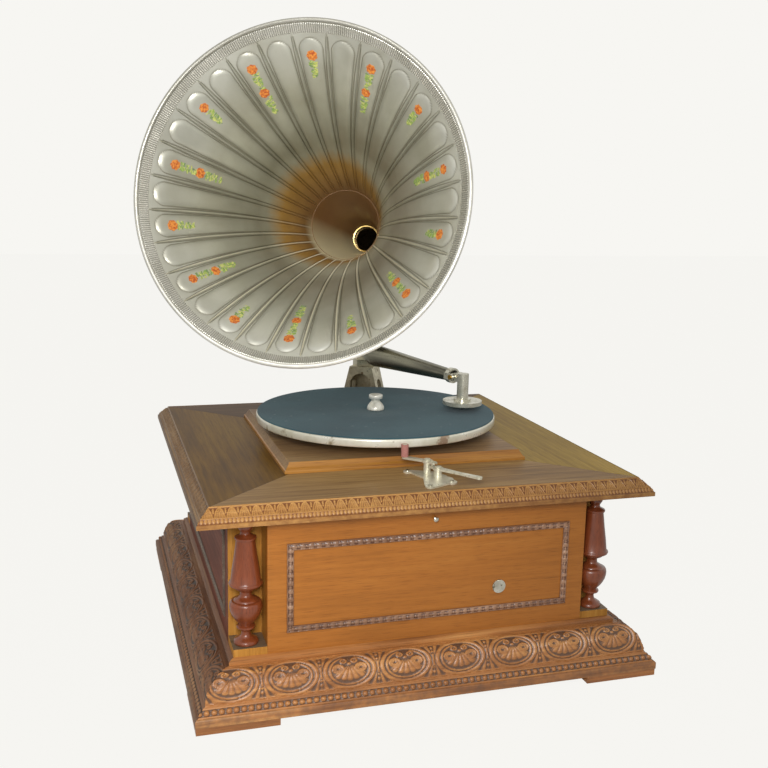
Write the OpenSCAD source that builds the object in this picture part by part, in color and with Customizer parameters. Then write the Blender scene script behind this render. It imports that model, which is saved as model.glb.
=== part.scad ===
// Table gramophone with an outside horn: a square case with turned corner
// columns, a hinged lid that carries the turntable, the spring motor, the
// tonearm and the horn. Millimetres, +Z up, front towards -Y, origin on the
// table under the middle of the whole.

/* [Case] */
// How far right of the origin the case's middle stands
case_x = 17; // [0:0.5:30]
// Width of the case between its side walls' outer faces
body_w = 364; // [330:1:400]
// Depth of the case between the front and back panels' outer faces
body_d = 388; // [370:1:420]
// Height of the lid's underside above the table
lid_z = 175; // [165:1:200]
// Thickness of the walls
wall_t = 12; // [8:0.5:16]
// Side of the square corner recess that holds a column
recess = 30; // [26:0.5:36]
// Thickness of the corner posts' boards
post_t = 8; // [5:0.5:12]
// Height of a plinth block under a column
plinth_h = 7; // [5:0.5:12]
// Largest radius of a column, at its urn
column_r = 14.6; // [10:0.2:14.8]
// Distance of a column's axis in from the case's outer faces
column_in = 13.2; // [12:0.1:16]
// Width of the carved bead frame on a panel
bead_w = 6; // [4:0.5:8]
// Height that the bead frame stands out of its panel
bead_h = 2.4; // [1.5:0.1:4]
// Distance from the bead frame to the panel's ends
bead_side = 17; // [12:1:26]
// Distance from the bead frame to the lid's underside
bead_top = 24; // [19:0.5:28]
// Distance from the bead frame down to the top of the base
bead_bottom = 18; // [12:1:24]

/* [Base] */
// Height of the top of the base moulding
base_h = 51; // [46:1:58]
// How far the base moulding stands out at the sides
base_out_side = 37; // [30:1:42]
// How far the base moulding stands out at the front and back
base_out_front = 33; // [28:1:42]
// How far the base moulding reaches in under the walls
base_in = 16; // [13:1:24]
// Height of the feet
foot_h = 6.5; // [4:0.5:12]
// Length of a foot along each side
foot_len = 72; // [50:1:110]
// Width of a foot
foot_w = 26; // [16:1:40]
// Thickness of the bottom board
floor_t = 8; // [5:1:12]

/* [Lid] */
// Thickness of the lid board
lid_t = 16; // [14:0.5:20]
// How far the lid stands out at the sides, cornice included
lid_out_side = 32; // [26:1:36]
// How far the lid stands out at the front and back, cornice included
lid_out_front = 17.5; // [12:0.5:24]
// Width of the cornice moulding
cornice_w = 12; // [9:0.5:14]
// Height of the plain fillet at the cornice's foot
fillet_h = 6.4; // [4:0.2:8]
// Play between the closed lid and the walls
lid_gap = 0.4; // [0.3:0.1:1]
// Side of the raised board under the turntable
raised_w = 244; // [232:1:250]
// Height of the raised board
raised_h = 10; // [6:0.5:11]
// Radius of a hinge's knuckle
knuckle_r = 3; // [2.5:0.1:3.4]
// Length of a hinge
hinge_len = 50; // [36:1:70]
// Distance of a hinge from the case's middle
hinge_x = 110; // [80:1:130]
// Radius of the hinge pins
hinge_pin_r = 1.2; // [0.8:0.1:1.5]
// Thickness of the hinge leaves
leaf_t = 1.4; // [1:0.1:2]

/* [Catch and crank hole] */
// Radius of the catch button's head
button_r = 2.3; // [1.8:0.1:3.5]
// Radius of the button's shank
button_shank_r = 1.4; // [1:0.1:1.6]
// Depth of the catch button below the lid
button_drop = 11; // [9:0.5:13]
// Travel of the catch button
button_travel = 3; // [1:0.5:4]
// Radius of the crank hole in the front panel
crank_hole_r = 3.5; // [2.5:0.1:4]
// Radius of the disc that covers the crank hole
cover_r = 6.4; // [5.5:0.1:8]
// Thickness of that disc
cover_t = 1; // [0.8:0.1:2]
// Distance of the crank hole right of the case's middle
crank_x = 65.6; // [62:0.2:70]
// Height of the crank hole's axis
crank_z = 92.8; // [88:0.2:95]

/* [Turntable] */
// Radius of the platter
platter_r = 127; // [110:1:128]
// Height of the felt's top above the table
platter_top = 222; // [216:0.5:235]
// Height of the platter's rim
platter_h = 8.4; // [6:0.2:12]
// Thickness of the platter's top sheet
platter_t = 2; // [1.2:0.1:3]
// Thickness of the felt
felt_t = 1.2; // [0.6:0.1:2.5]
// Width of the nickel rim that stays bare round the felt
rim_bare = 1; // [1:0.2:6]
// Radius of the spindle above the platter
spindle_r = 3.6; // [3:0.1:4]
// Height of the spindle above the felt
spindle_up = 12; // [9:0.5:14]
// Radius of the record clamp's dome
clamp_r = 9.3; // [7:0.1:12]
// Height of the record clamp's dome
clamp_h = 11.5; // [9:0.5:14]
// Radius of the record clamp's cap
clamp_cap_r = 7.2; // [5:0.1:9]

/* [Motor] */
// Radial play of every shaft in its bearing
fit = 0.05; // [0.02:0.01:0.08]
// Play between parts that pass each other
play = 0.4; // [0.3:0.1:0.8]
// Thickness of the motor's plates
plate_t = 3; // [2:0.5:4]
// Height between the motor's plates
motor_gap = 54; // [53:0.5:56]
// Radius of the motor's pillars
pillar_r = 4; // [3:0.5:5]
// Module of the train's gears
gear_m = 1; // [1:0.1:1.05]
// Teeth on the spring barrel
barrel_n = 84; // [84:2:84]
// Teeth on the intermediate wheel
wheel_n = 60; // [60:2:60]
// Teeth on the small pinions
pinion_n = 12; // [12:1:12]
// Teeth on the governor's driving wheel
governor_wheel_n = 60; // [60:2:60]
// Face width of the wheels
wheel_t = 2.6; // [2:0.1:3.4]
// Radius of the arbors' pivots
pivot_r = 2.2; // [1.6:0.1:2.6]
// Radius of the spring arbor
arbor_r = 5; // [4:0.1:5.4]
// Height of the spring barrel
barrel_h = 26; // [22:0.5:28]
// Wall of the spring barrel
barrel_wall = 1.6; // [1.2:0.1:2.4]
// Turns of the mainspring
spring_turns = 7; // [4:1:8]
// Thickness of the mainspring's strip
spring_t = 0.8; // [0.4:0.1:1]
// Radius at which the governor's balls turn
governor_ball_at = 14; // [12:0.5:16]
// Radius of a governor ball
governor_ball_r = 4.4; // [3:0.1:4.6]
// Teeth on the crown wheel
crown_n = 24; // [24:1:24]
// Teeth on the winding pinion
winding_n = 8; // [8:1:8]
// Radius of the crown wheel's tooth ring
crown_r = 20; // [20:0.1:20]
// Radius of the winding shaft
winding_r = 3.4; // [2.6:0.1:3.6]
// Distance of the winding shaft's end behind the front panel
winding_back = 14; // [12:0.5:30]

/* [Bracket and tonearm] */
// Distance of the tonearm's pivot right of the case's middle
pivot_x = 37; // [30:0.5:44]
// Distance of the tonearm's pivot behind the case's middle
pivot_y = 148; // [142:0.5:150]
// Distance of the bracket's column behind the tonearm's pivot
column_back = 30; // [28:0.5:34]
// Width of the bracket's foot, across its front
feet_w = 52; // [48:1:54]
// Depth of the bracket's foot
feet_d = 27; // [25:1:28]
// Turn of the bracket's casting towards the horn
feet_turn = 36; // [20:1:37]
// Height of the bracket's arch above the lid
arch_h = 48; // [45:1:52]
// Height of the tonearm's axis above the turntable's top
arm_up = 35; // [34:0.5:40]
// Radius of the tonearm at its rear end
arm_r = 13; // [11.5:0.1:13.2]
// Radius of the tonearm at its front end
arm_tip_r = 6.2; // [5.4:0.1:7]
// Wall of the tonearm's tube
tube_wall = 1.2; // [0.8:0.1:1.6]
// Distance from the tonearm's pivot to the stylus
arm_len = 177; // [172:0.5:180]
// Angle of the tonearm at rest, to the right of straight ahead
arm_turn = 17.8; // [14:0.1:24]
// Radius of the bracket's collar
collar_r = 19; // [18.6:0.1:21]
// Height of the bracket's collar
collar_h = 22; // [18:0.5:26]

/* [Sound box] */
// Radius of the sound box
box_r = 21; // [17:0.5:23]
// Thickness of the sound box
box_h = 5.6; // [5.4:0.1:6]
// Thickness of the diaphragm
diaphragm_t = 0.6; // [0.3:0.1:1]
// Thickness of each gasket ring
gasket_t = 0.9; // [0.5:0.1:1.4]
// Clearance between the stylus and the felt
stylus_up = 0.6; // [0.4:0.1:1.5]
// Radius of the pivot screws at the arm's end
yoke_screw_r = 1.5; // [1.1:0.1:1.8]

/* [Horn] */
// Radius of the horn's mouth
mouth_r = 148; // [130:1:155]
// Length of the horn along its axis, from the throat ring to the mouth
horn_len = 300; // [280:1:330]
// Radius of the throat ring
throat_r = 15; // [14.5:0.1:16]
// Length of the smooth throat cone
throat_len = 115; // [90:1:130]
// Angle of the horn to the left of straight ahead
horn_turn = 27.5; // [15:0.5:35]
// Angle of the horn's axis above level
horn_tilt = 9.8; // [5:0.2:14]
// Wall of the horn's metal
horn_wall = 1; // [0.8:0.1:1.6]
// Radius of the rolled rim
rim_r = 2.1; // [1.8:0.1:4]
// Bend radius of the horn's elbow
elbow_bend = 40; // [34:1:46]
// Height of the elbow's bend centre above the table
elbow_z = 357; // [350:1:366]
// Radius of the elbow's tube
elbow_r = 15; // [14:0.1:15.4]

/* [Brake] */
// Place of the brake arm's post, right of the case's middle
brake_x = 8; // [4:0.5:10]
// Place of the brake arm's post, in front of the case's middle
brake_y = 147; // [146:0.5:149]
// Place of the handle's post, right of the case's middle
handle_x = 14; // [12:0.5:16]
// Place of the handle's post, in front of the case's middle
handle_y = 161; // [160:0.5:163]
// Height of the brake arm's post above the lid
brake_post_h = 12; // [11:0.5:13]
// Radius of the brake arm's post
brake_post_r = 3.4; // [2.6:0.1:3.6]
// Height of the handle's post above the lid
handle_post_h = 8; // [7:0.2:8.4]
// Radius of the handle's post
handle_post_r = 3.8; // [3:0.1:4]
// Length of the handle lever
handle_len = 48; // [36:1:52]
// Radius of the brake pad
pad_r = 3.5; // [2.5:0.1:4.2]
// Height of the brake pad
pad_h = 14; // [10:0.5:15]
// Play between the pad and the platter's rim
pad_gap = 0.35; // [0.3:0.05:0.6]

/* [Hidden] */
$fn = 48;

half_w = body_w / 2;
half_d = body_d / 2;
wall_top = lid_z - lid_gap;
lid_top = lid_z + lid_t;
deck_top = lid_top + raised_h;
lid_half_w = half_w + lid_out_side;
lid_half_d = half_d + lid_out_front;
board_half_w = lid_half_w - cornice_w;
board_half_d = lid_half_d - cornice_w;
panel_half_w = half_w - recess;
panel_half_d = half_d - recess;
plinth_top = base_h + plinth_h;
column_x = half_w - column_in;
column_y = half_d - column_in;
floor_top = foot_h + floor_t;

platter_under = platter_top - felt_t - platter_h;
plate_top_z = lid_z - plate_t;
plate_low_z = plate_top_z - motor_gap - plate_t;
train_low = plate_low_z + plate_t;

// The gears' centres: the intermediate arbor meshes with the spindle and
// with the barrel, and the barrel stands straight behind the crank hole.
mesh_slack = 0.12 * gear_m;
near_r = (wheel_n + pinion_n) / 2 * gear_m + mesh_slack;
far_r = (barrel_n + pinion_n) / 2 * gear_m + mesh_slack;
governor_r = (governor_wheel_n + pinion_n) / 2 * gear_m + mesh_slack;
inter_x = (near_r * near_r - far_r * far_r + crank_x * crank_x) / (2 * crank_x);
inter_y = sqrt(near_r * near_r - inter_x * inter_x);
barrel_root_r = barrel_n / 2 * gear_m - 1.15 * gear_m;
barrel_r = barrel_root_r - 1;

// Heights of the train's levels, from the bottom plate up
barrel_z = train_low + 5;
barrel_gear_z = barrel_z;
barrel_top = barrel_z + barrel_h;
wheel_z = barrel_top + 4.4;
governor_wheel_z = wheel_z + wheel_t + 4.4;

crown_module = 2 * crown_r / crown_n;
winding_pitch_r = crown_module * winding_n / 2;
crown_tooth_h = 1.7 * crown_module;
crown_pitch_z = crank_z + winding_pitch_r;
crown_low_z = crown_pitch_z - 0.8 * crown_module;
crown_disc_z = crown_low_z + crown_tooth_h;
winding_y0 = -(half_d - wall_t - winding_back);

arm_z = platter_top + arm_up;
collar_z = arm_z + arm_r + 14;
collar_top = collar_z + collar_h;
arm_bend = arm_r + 1;
spigot_ledge = collar_z + collar_h / 2;
bracket_y = pivot_y + column_back;

box_under = platter_top + stylus_up + 4.8;
box_top = box_under + box_h;
tube_r = arm_tip_r;
// Height of the sound box's narrower lower part, and the seat of its diaphragm
box_step = 1.6;
box_seat = 2.2;
yoke_in = 12;

horn_k = ln(mouth_r / throat_r) / horn_len;

// The case's middle stands right of the origin, which is under the middle of
// the whole gramophone with its horn
module placed() {
  translate([case_x, 0, 0]) children();
}

// Outlines and shapes that several pieces share

// A spur gear's outline: each tooth has its foot, two flanks and its tip
function gear_half(n, m, r) =
  let(rp = n * m / 2, s = (1.5708 * m - 0.36 * m) / 2)
  (s - (r - rp) * 0.36) / r * 57.2958;
function gear_points(n, m, add = 0.85) =
  let(rp = n * m / 2, rr = rp - 1.2 * m, rt = rp + add * m, rm = rp + 0.3 * m,
      root_r = max(rr, 1),
      wr = gear_half(n, m, rp - (n < 20 ? 0.1 : 0.9) * m),
      wm = gear_half(n, m, rm), wt = gear_half(n, m, rt) * 0.86)
  [for (i = [0:n - 1]) let(a = 360 * i / n)
    each [for (p = [[root_r, -wr], [rm, -wm], [rt, -wt],
                    [rt, wt], [rm, wm], [root_r, wr]])
      [p[0] * cos(a + p[1]), p[0] * sin(a + p[1])]]];

module gear(n, m, h, turn = 0) {
  rotate([0, 0, turn]) linear_extrude(height = h) polygon(gear_points(n, m));
}

module tube(r, wall, h) {
  difference() {
    cylinder(r = r, h = h);
    translate([0, 0, -1]) cylinder(r = r - wall, h = h + 2);
  }
}

module ring(r_out, r_in, h) {
  difference() {
    cylinder(r = r_out, h = h);
    translate([0, 0, -1]) cylinder(r = r_in, h = h + 2);
  }
}

module at_corners(x, y) {
  for (i = [-1, 1]) for (j = [-1, 1]) translate([i * x, j * y, 0]) children();
}

// The base moulding's section: out is how far it stands out of the wall
function base_section(out) =
  let(k = out / 37, hi = base_h - foot_h)
  concat(
    [[-base_in, foot_h], [out, foot_h], [out, foot_h + 0.14 * hi],
     [out - 1.2 * k, foot_h + 0.17 * hi], [out - 2.6 * k, foot_h + 0.17 * hi],
     [out - 7.4 * k, foot_h + 0.32 * hi], [out - 9.2 * k, foot_h + 0.335 * hi]],
    [for (a = [0:15:90]) [8 * k + 19.5 * k * cos(a),
                          foot_h + (0.345 + 0.527 * sin(a)) * hi]],
    [[8 * k, foot_h + 0.885 * hi], [4.4 * k, foot_h + 0.885 * hi],
     [4.4 * k, foot_h + 0.95 * hi], [1 * k, base_h], [-base_in, base_h]]);

// The cornice's section: a plain fillet with a sloping carved cove above
function cornice_section() =
  [[-cornice_w, 0], [0, 0], [0, fillet_h], [-0.8, fillet_h + 0.4],
   [-1.4, fillet_h + 1.6], [-3.2, fillet_h + 2.4], [-3.6, fillet_h + 3.6],
   [-6.5, fillet_h + 5.2], [-9, fillet_h + 7.8],
   [-cornice_w, lid_t + 0.3]];

// Plan of one mitred side: w and d are the half sizes of the inner corner,
// ow and od how far the corner runs out, iw and id how far it runs in
function mitre_plan(w, d, ow, od, run) =
  [[-(w - run * ow / od), -(d - run)], [(w - run * ow / od), -(d - run)],
   [w + ow, -(d + od)], [-(w + ow), -(d + od)]];

module base_side(w, d, ow, od) {
  intersection() {
    translate([w + ow + 2, 0, 0]) rotate([90, 0, -90])
      linear_extrude(height = 2 * (w + ow + 2))
        translate([d, 0]) polygon(base_section(od));
    linear_extrude(height = base_h + 10) polygon(mitre_plan(w, d, ow, od, base_in));
  }
}

module cornice_side(w, d) {
  translate([0, 0, lid_z]) intersection() {
    translate([w + 2, 0, 0]) rotate([90, 0, -90])
      linear_extrude(height = 2 * (w + 2))
        translate([d, 0]) polygon(cornice_section());
    linear_extrude(height = lid_t + 10)
      polygon(mitre_plan(w, d, 0.001, 0.001, cornice_w));
  }
}

// Case

module feet() color("#a8682a") placed() {
  ow = half_w + base_out_side - 0.6;
  od = half_d + base_out_front - 0.6;
  for (i = [-1, 1]) for (j = [-1, 1])
    translate([i * ow, j * od, 0]) linear_extrude(height = foot_h)
      polygon([for (q = [[0, 0], [foot_len, 0], [foot_len, foot_w],
                         [foot_w, foot_w], [foot_w, foot_len], [0, foot_len]])
        [-i * q[0], -j * q[1]]]);
}

module base_moulding_front() color("#8a5227") placed()
  base_side(half_w, half_d, base_out_side, base_out_front);

module base_moulding_back() color("#8a5227") placed() rotate([0, 0, 180])
  base_side(half_w, half_d, base_out_side, base_out_front);

module base_moulding_right() color("#7a4522") placed() rotate([0, 0, 90])
  base_side(half_d, half_w, base_out_front, base_out_side);

module base_moulding_left() color("#7a4522") placed() rotate([0, 0, -90])
  base_side(half_d, half_w, base_out_front, base_out_side);

module bottom_board() color("#6b4a2c") placed()
  translate([-(half_w - base_in), -(half_d - base_in), foot_h])
    cube([2 * (half_w - base_in), 2 * (half_d - base_in), floor_t]);

module wall_panel(length, depth) {
  translate([-length / 2, -depth, base_h])
    cube([length, wall_t, wall_top - base_h]);
}

module front_panel() color("#a8662a") placed() difference() {
  wall_panel(2 * panel_half_w, half_d);
  translate([crank_x, 0, crank_z]) rotate([90, 0, 0])
    cylinder(r = crank_hole_r, h = half_d + 1);
  translate([0, 0, lid_z - button_drop]) rotate([90, 0, 0])
    cylinder(r = button_shank_r + fit, h = half_d + 1);
  translate([crank_x, -half_d + 4.2, crank_z + cover_pivot]) rotate([90, 0, 0])
    cylinder(r = 0.6 + fit, h = 6);
}

module back_panel() color("#8f5a2a") placed() rotate([0, 0, 180])
  wall_panel(2 * panel_half_w, half_d);

module left_panel() color("#7d4a28") placed() rotate([0, 0, -90])
  wall_panel(2 * panel_half_d, half_w);

module right_panel() color("#7d4a28") placed() rotate([0, 0, 90])
  wall_panel(2 * panel_half_d, half_w);

// Each post is two boards that line a corner recess, so a column shows
module corner_posts() color("#c08a3e") placed()
  for (i = [-1, 1]) for (j = [-1, 1])
    translate([i * panel_half_w, j * panel_half_d, base_h])
      linear_extrude(height = wall_top - base_h)
        polygon([for (q = [[0, 0], [0, recess - wall_t], [-post_t, recess - wall_t],
                           [-post_t, -post_t], [recess - wall_t, -post_t],
                           [recess - wall_t, 0]])
          [i * q[0], j * q[1]]]);

module plinth_blocks() color("#b9803a") placed()
  at_corners(half_w - recess / 2, half_d - recess / 2)
    translate([-recess / 2 + 0.1, -recess / 2 + 0.1, base_h])
      cube([recess - 0.2, recess - 0.2, plinth_h]);

// The turned column's outline, as shares of its height and its urn's radius
function column_shape() = [
  [0, 0.70], [0.019, 0.75], [0.038, 0.66], [0.053, 0.45], [0.082, 0.29],
  [0.118, 0.32], [0.135, 0.56], [0.154, 0.56], [0.161, 0.41], [0.185, 0.52],
  [0.24, 0.82], [0.274, 0.93], [0.309, 0.99], [0.334, 1], [0.369, 0.90],
  [0.374, 0.74], [0.398, 0.52], [0.42, 0.36], [0.458, 0.38], [0.472, 0.55],
  [0.494, 0.75], [0.509, 0.92], [0.528, 0.93], [0.545, 0.88], [0.888, 0.57],
  [0.904, 0.66], [0.919, 0.59], [0.938, 0.34], [0.966, 0.33], [1, 0.47]];

module columns() color("#7a3320") placed() {
  h = wall_top - plinth_top;
  at_corners(column_x, column_y) translate([0, 0, plinth_top]) rotate_extrude()
    polygon(concat([[0, 0]],
      [for (q = column_shape()) [q[1] * column_r, q[0] * h]], [[0, h]]));
}

module bead_frame(length) {
  z0 = base_h + bead_bottom;
  z1 = lid_z - bead_top;
  translate([0, 0, (z0 + z1) / 2]) rotate([90, 0, 0]) difference() {
    translate([-length / 2, -(z1 - z0) / 2, 0]) cube([length, z1 - z0, bead_h]);
    translate([-length / 2 + bead_w, -(z1 - z0) / 2 + bead_w, -1])
      cube([length - 2 * bead_w, z1 - z0 - 2 * bead_w, bead_h + 2]);
  }
}

module front_beading() color("#7c4a2c") placed()
  translate([0, -half_d, 0]) bead_frame(2 * (panel_half_w - bead_side));

module side_beadings() color("#6b3f28") placed() {
  rotate([0, 0, -90]) translate([0, -half_w, 0])
    bead_frame(2 * (panel_half_d - bead_side));
  rotate([0, 0, 90]) translate([0, -half_w, 0])
    bead_frame(2 * (panel_half_d - bead_side));
}

hinge_y = half_d + knuckle_r + 0.3;
hinge_z = lid_z - knuckle_r;

module knuckle(x0, x1, bore) {
  translate([x0, hinge_y, hinge_z]) rotate([0, 90, 0]) difference() {
    cylinder(r = knuckle_r - 0.05, h = x1 - x0);
    if (bore > 0) translate([0, 0, -1]) cylinder(r = bore, h = x1 - x0 + 2);
  }
}

module hinge_case_leaves() color("#b8924a") placed() for (s = [-1, 1])
  translate([s * hinge_x, 0, 0]) {
    third = hinge_len / 3;
    for (k = [-1, 1]) union() {
      knuckle(k * third - third / 2 + (k > 0 ? play / 2 : 0),
              k * third + third / 2 - (k < 0 ? play / 2 : 0), 0);
    }
    translate([-third, hinge_y, hinge_z]) rotate([0, 90, 0])
      cylinder(r = hinge_pin_r, h = 2 * third);
    for (k = [-1, 1])
      translate([k * third - third / 2 + (k > 0 ? play / 2 : 0),
                 half_d, hinge_z - 20])
        cube([third - play / 2, leaf_t, 20]);
    translate([-hinge_len / 2, half_d, hinge_z - 20])
      cube([hinge_len, leaf_t, 14]);
  }

module hinge_lid_leaves() color("#b8924a") placed() for (s = [-1, 1])
  translate([s * hinge_x, 0, 0]) {
    third = hinge_len / 3;
    knuckle(-third / 2 + play / 2, third / 2 - play / 2, hinge_pin_r + fit);
    difference() {
      translate([-third / 2 + play / 2, hinge_y, lid_z - leaf_t])
        cube([third - play, lid_out_front - knuckle_r - 2, leaf_t]);
      translate([-hinge_len, hinge_y, hinge_z]) rotate([0, 90, 0])
        cylinder(r = hinge_pin_r + fit, h = 2 * hinge_len);
    }
    translate([-hinge_len / 2, hinge_y + knuckle_r + 0.4, lid_z - leaf_t])
      cube([hinge_len, lid_out_front - 2 * knuckle_r - 2.4, leaf_t]);
  }

catch_z = lid_z - button_drop;
catch_in = half_d - wall_t;

module catch_button() color("#d8d2c4") placed() translate([0, 0, catch_z]) rotate([90, 0, 0]) {
  translate([0, 0, catch_in - 1 - play]) cylinder(r = button_r + 2, h = 1);
  translate([0, 0, catch_in - 1]) cylinder(r = button_shank_r, h = wall_t + 2 + button_travel);
  translate([0, 0, half_d + button_travel + play]) cylinder(r = button_r, h = 1);
  translate([0, 0, half_d + button_travel + play + 1])
    cylinder(r1 = button_r, r2 = button_r * 0.6, h = 0.6);
}

// A leaf spring behind the front panel that pushes the button back out
module catch_spring() color("#8e9096") placed() {
  back = catch_in - play - 1 - button_travel - 0.5;
  translate([-6, -back, catch_z - 4]) cube([42, 0.6, 8]);
  translate([28, -catch_in, catch_z - 4]) cube([8, catch_in - back, 8]);
}

cover_pivot = cover_r - 1.2;

module crank_hole_cover() color("#c9c6b8") placed()
  translate([crank_x, -half_d - 0.05, crank_z]) rotate([90, 0, 0]) difference() {
    cylinder(r = cover_r, h = cover_t);
    translate([0, cover_pivot, -1]) cylinder(r = 0.6 + fit, h = cover_t + 2);
  }

module crank_cover_screw() color("#c9c6b8") placed()
  translate([crank_x, -half_d, crank_z + cover_pivot]) rotate([90, 0, 0]) {
    translate([0, 0, -4]) cylinder(r = 0.6, h = 4 + cover_t + 0.2);
    translate([0, 0, cover_t + 0.15]) cylinder(r = 1.1, h = 0.5);
  }

// Lid

bolt_x = 64;
bolt_y = 48;
motor_x0 = -(governor_r + 27);
motor_x1 = crank_x + barrel_n / 2 * gear_m + 8;
motor_y0 = -56;
motor_y1 = 60;

module at_pillars() {
  inset = 8;
  for (x = [motor_x0 + inset, motor_x1 - inset])
    for (y = [motor_y0 + inset, motor_y1 - inset]) translate([x, y, 0]) children();
}

module lid_board() color("#8a5a30") placed() difference() {
  translate([-board_half_w, -board_half_d, lid_z])
    cube([2 * board_half_w, 2 * board_half_d, lid_t]);
  translate([0, 0, lid_z - 1]) cylinder(r = 9, h = lid_t + 2);
  at_pillars() translate([0, 0, lid_z - 1]) cylinder(r = 2.2, h = lid_t + 2);
}

module cornice_front() color("#9a6a36") placed() cornice_side(lid_half_w, lid_half_d);
module cornice_back() color("#9a6a36") placed() rotate([0, 0, 180])
  cornice_side(lid_half_w, lid_half_d);
module cornice_right() color("#8a5a30") placed() rotate([0, 0, 90])
  cornice_side(lid_half_d, lid_half_w);
module cornice_left() color("#8a5a30") placed() rotate([0, 0, -90])
  cornice_side(lid_half_d, lid_half_w);

raised_edge = 5;
raised_y = 4;

module turntable_board() color("#b8762c") placed() difference() {
  h = raised_w / 2;
  union() {
    translate([-h, -h + raised_y, lid_top]) cube([2 * h, 2 * h, raised_h * 0.4]);
    translate([-h + raised_edge / 2, -h + raised_y + raised_edge / 2, lid_top])
      cube([2 * h - raised_edge, 2 * h - raised_edge, raised_h * 0.75]);
    translate([-h + raised_edge, -h + raised_y + raised_edge, lid_top])
      cube([2 * h - 2 * raised_edge, 2 * h - 2 * raised_edge, raised_h]);
  }
  translate([0, 0, lid_top - 1]) cylinder(r = 9, h = raised_h + 2);
  at_pillars() translate([0, 0, lid_top - 1]) cylinder(r = 2.2, h = raised_h - 1);
}

// Motor

module motor_plate_outline() {
  translate([motor_x0, motor_y0]) square([motor_x1 - motor_x0, motor_y1 - motor_y0]);
}

governor_x = -governor_r;

module motor_top_plate() color("#8d9095") placed() translate([0, 0, plate_top_z]) difference() {
  linear_extrude(height = plate_t) motor_plate_outline();
  translate([0, 0, -1]) cylinder(r = spindle_r + 2 + fit, h = plate_t + 2);
  translate([inter_x, inter_y, -1]) cylinder(r = pivot_r + fit, h = plate_t);
  translate([crank_x, 0, -1]) cylinder(r = arbor_r + fit, h = plate_t);
  translate([governor_x, 0, -1]) cylinder(r = pivot_r + fit, h = plate_t);
  at_pillars() translate([0, 0, -1]) cylinder(r = 2.2, h = plate_t + 2);
}

module motor_bottom_plate() color("#8d9095") placed() {
  difference() {
    translate([0, 0, plate_low_z]) linear_extrude(height = plate_t)
      motor_plate_outline();
    translate([0, 0, plate_low_z + 1]) cylinder(r = pivot_r + fit, h = plate_t);
    translate([inter_x, inter_y, plate_low_z + 1])
      cylinder(r = pivot_r + fit, h = plate_t);
    translate([crank_x, 0, plate_low_z - 1])
      cylinder(r = arbor_r + fit, h = plate_t + 2);
    translate([governor_x, 0, plate_low_z + 1])
      cylinder(r = pivot_r + fit, h = plate_t);
    at_pillars() translate([0, 0, plate_low_z - 1]) cylinder(r = 2.2, h = plate_t + 2);
  }
  // Two hangers carry the winding shaft under the plate
  for (y = hanger_ys()) difference() {
    translate([crank_x - 8, y, crank_z - 7])
      cube([16, hanger_t, plate_low_z - crank_z + 7]);
    translate([crank_x, y + hanger_t + 1, crank_z]) rotate([90, 0, 0])
      cylinder(r = winding_r + fit, h = hanger_t + 2);
  }
}

hanger_t = 5;
function hanger_ys() = [motor_y0, -crown_r - 20];

module motor_pillars() color("#b59a5a") placed() at_pillars()
  translate([0, 0, train_low]) tube(pillar_r, pillar_r - 2.2, motor_gap);

// Four long bolts, screwed up into blind holes in the raised board
module motor_bolts() color("#9a9a9a") placed() at_pillars() {
  translate([0, 0, plate_low_z]) cylinder(r = 2.1, h = deck_top - 2.4 - plate_low_z);
  translate([0, 0, plate_low_z - 3]) cylinder(r = 4, h = 3);
}

module platter() color("#c4c0b0") placed() {
  z = platter_top - felt_t;
  difference() {
    translate([0, 0, platter_under]) cylinder(r = platter_r, h = platter_h, $fn = 96);
    translate([0, 0, platter_under - 1])
      cylinder(r = platter_r - 2.4, h = platter_h - platter_t + 1, $fn = 96);
    translate([0, 0, platter_under - 1])
      cylinder(r = spindle_r + fit, h = platter_h + 2);
  }
  translate([0, 0, platter_under - 4]) ring(14, spindle_r + fit, platter_h + 4 - platter_t);
}

module platter_felt() color("#2f4a55") placed()
  translate([0, 0, platter_top - felt_t]) difference() {
    cylinder(r = platter_r - rim_bare, h = felt_t, $fn = 96);
    translate([0, 0, -1]) cylinder(r = spindle_r + fit, h = felt_t + 2);
  }

module spindle() color("#b9b9b4") placed() {
  translate([0, 0, plate_low_z + 1.2])
    cylinder(r = pivot_r, h = train_low - plate_low_z - 1.2 + 2);
  translate([0, 0, train_low + 1]) cylinder(r = spindle_r, h = platter_top - train_low);
  translate([0, 0, governor_wheel_z + wheel_t + 1])
    cylinder(r = spindle_r + 2, h = platter_under - 4 - governor_wheel_z - wheel_t - 1);
  translate([0, 0, platter_top]) cylinder(r = spindle_r, h = spindle_up - 2);
  translate([0, 0, platter_top + spindle_up - 2])
    cylinder(r1 = spindle_r, r2 = spindle_r * 0.5, h = 2);
}

// At rest a tooth of each pinion points into a gap of its wheel
function mesh_turn(n, direction) = direction + 180 / n;

inter_dir = atan2(inter_y, inter_x);
barrel_dir = atan2(-inter_y, crank_x - inter_x);

module spindle_gears() color("#b08d3c") placed() {
  difference() {
    union() {
      translate([0, 0, wheel_z - 1]) gear(pinion_n, gear_m, wheel_t + 2, inter_dir);
      translate([0, 0, governor_wheel_z])
        gear(governor_wheel_n, gear_m, wheel_t, 180);
      translate([0, 0, wheel_z - 4]) cylinder(r = spindle_r + 2.2, h = 3.5);
      translate([0, 0, wheel_z + wheel_t + 0.6])
        cylinder(r = spindle_r + 2.2, h = governor_wheel_z - wheel_z - wheel_t);
    }
    translate([0, 0, wheel_z - 5]) cylinder(r = spindle_r, h = 30);
  }
}

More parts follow.
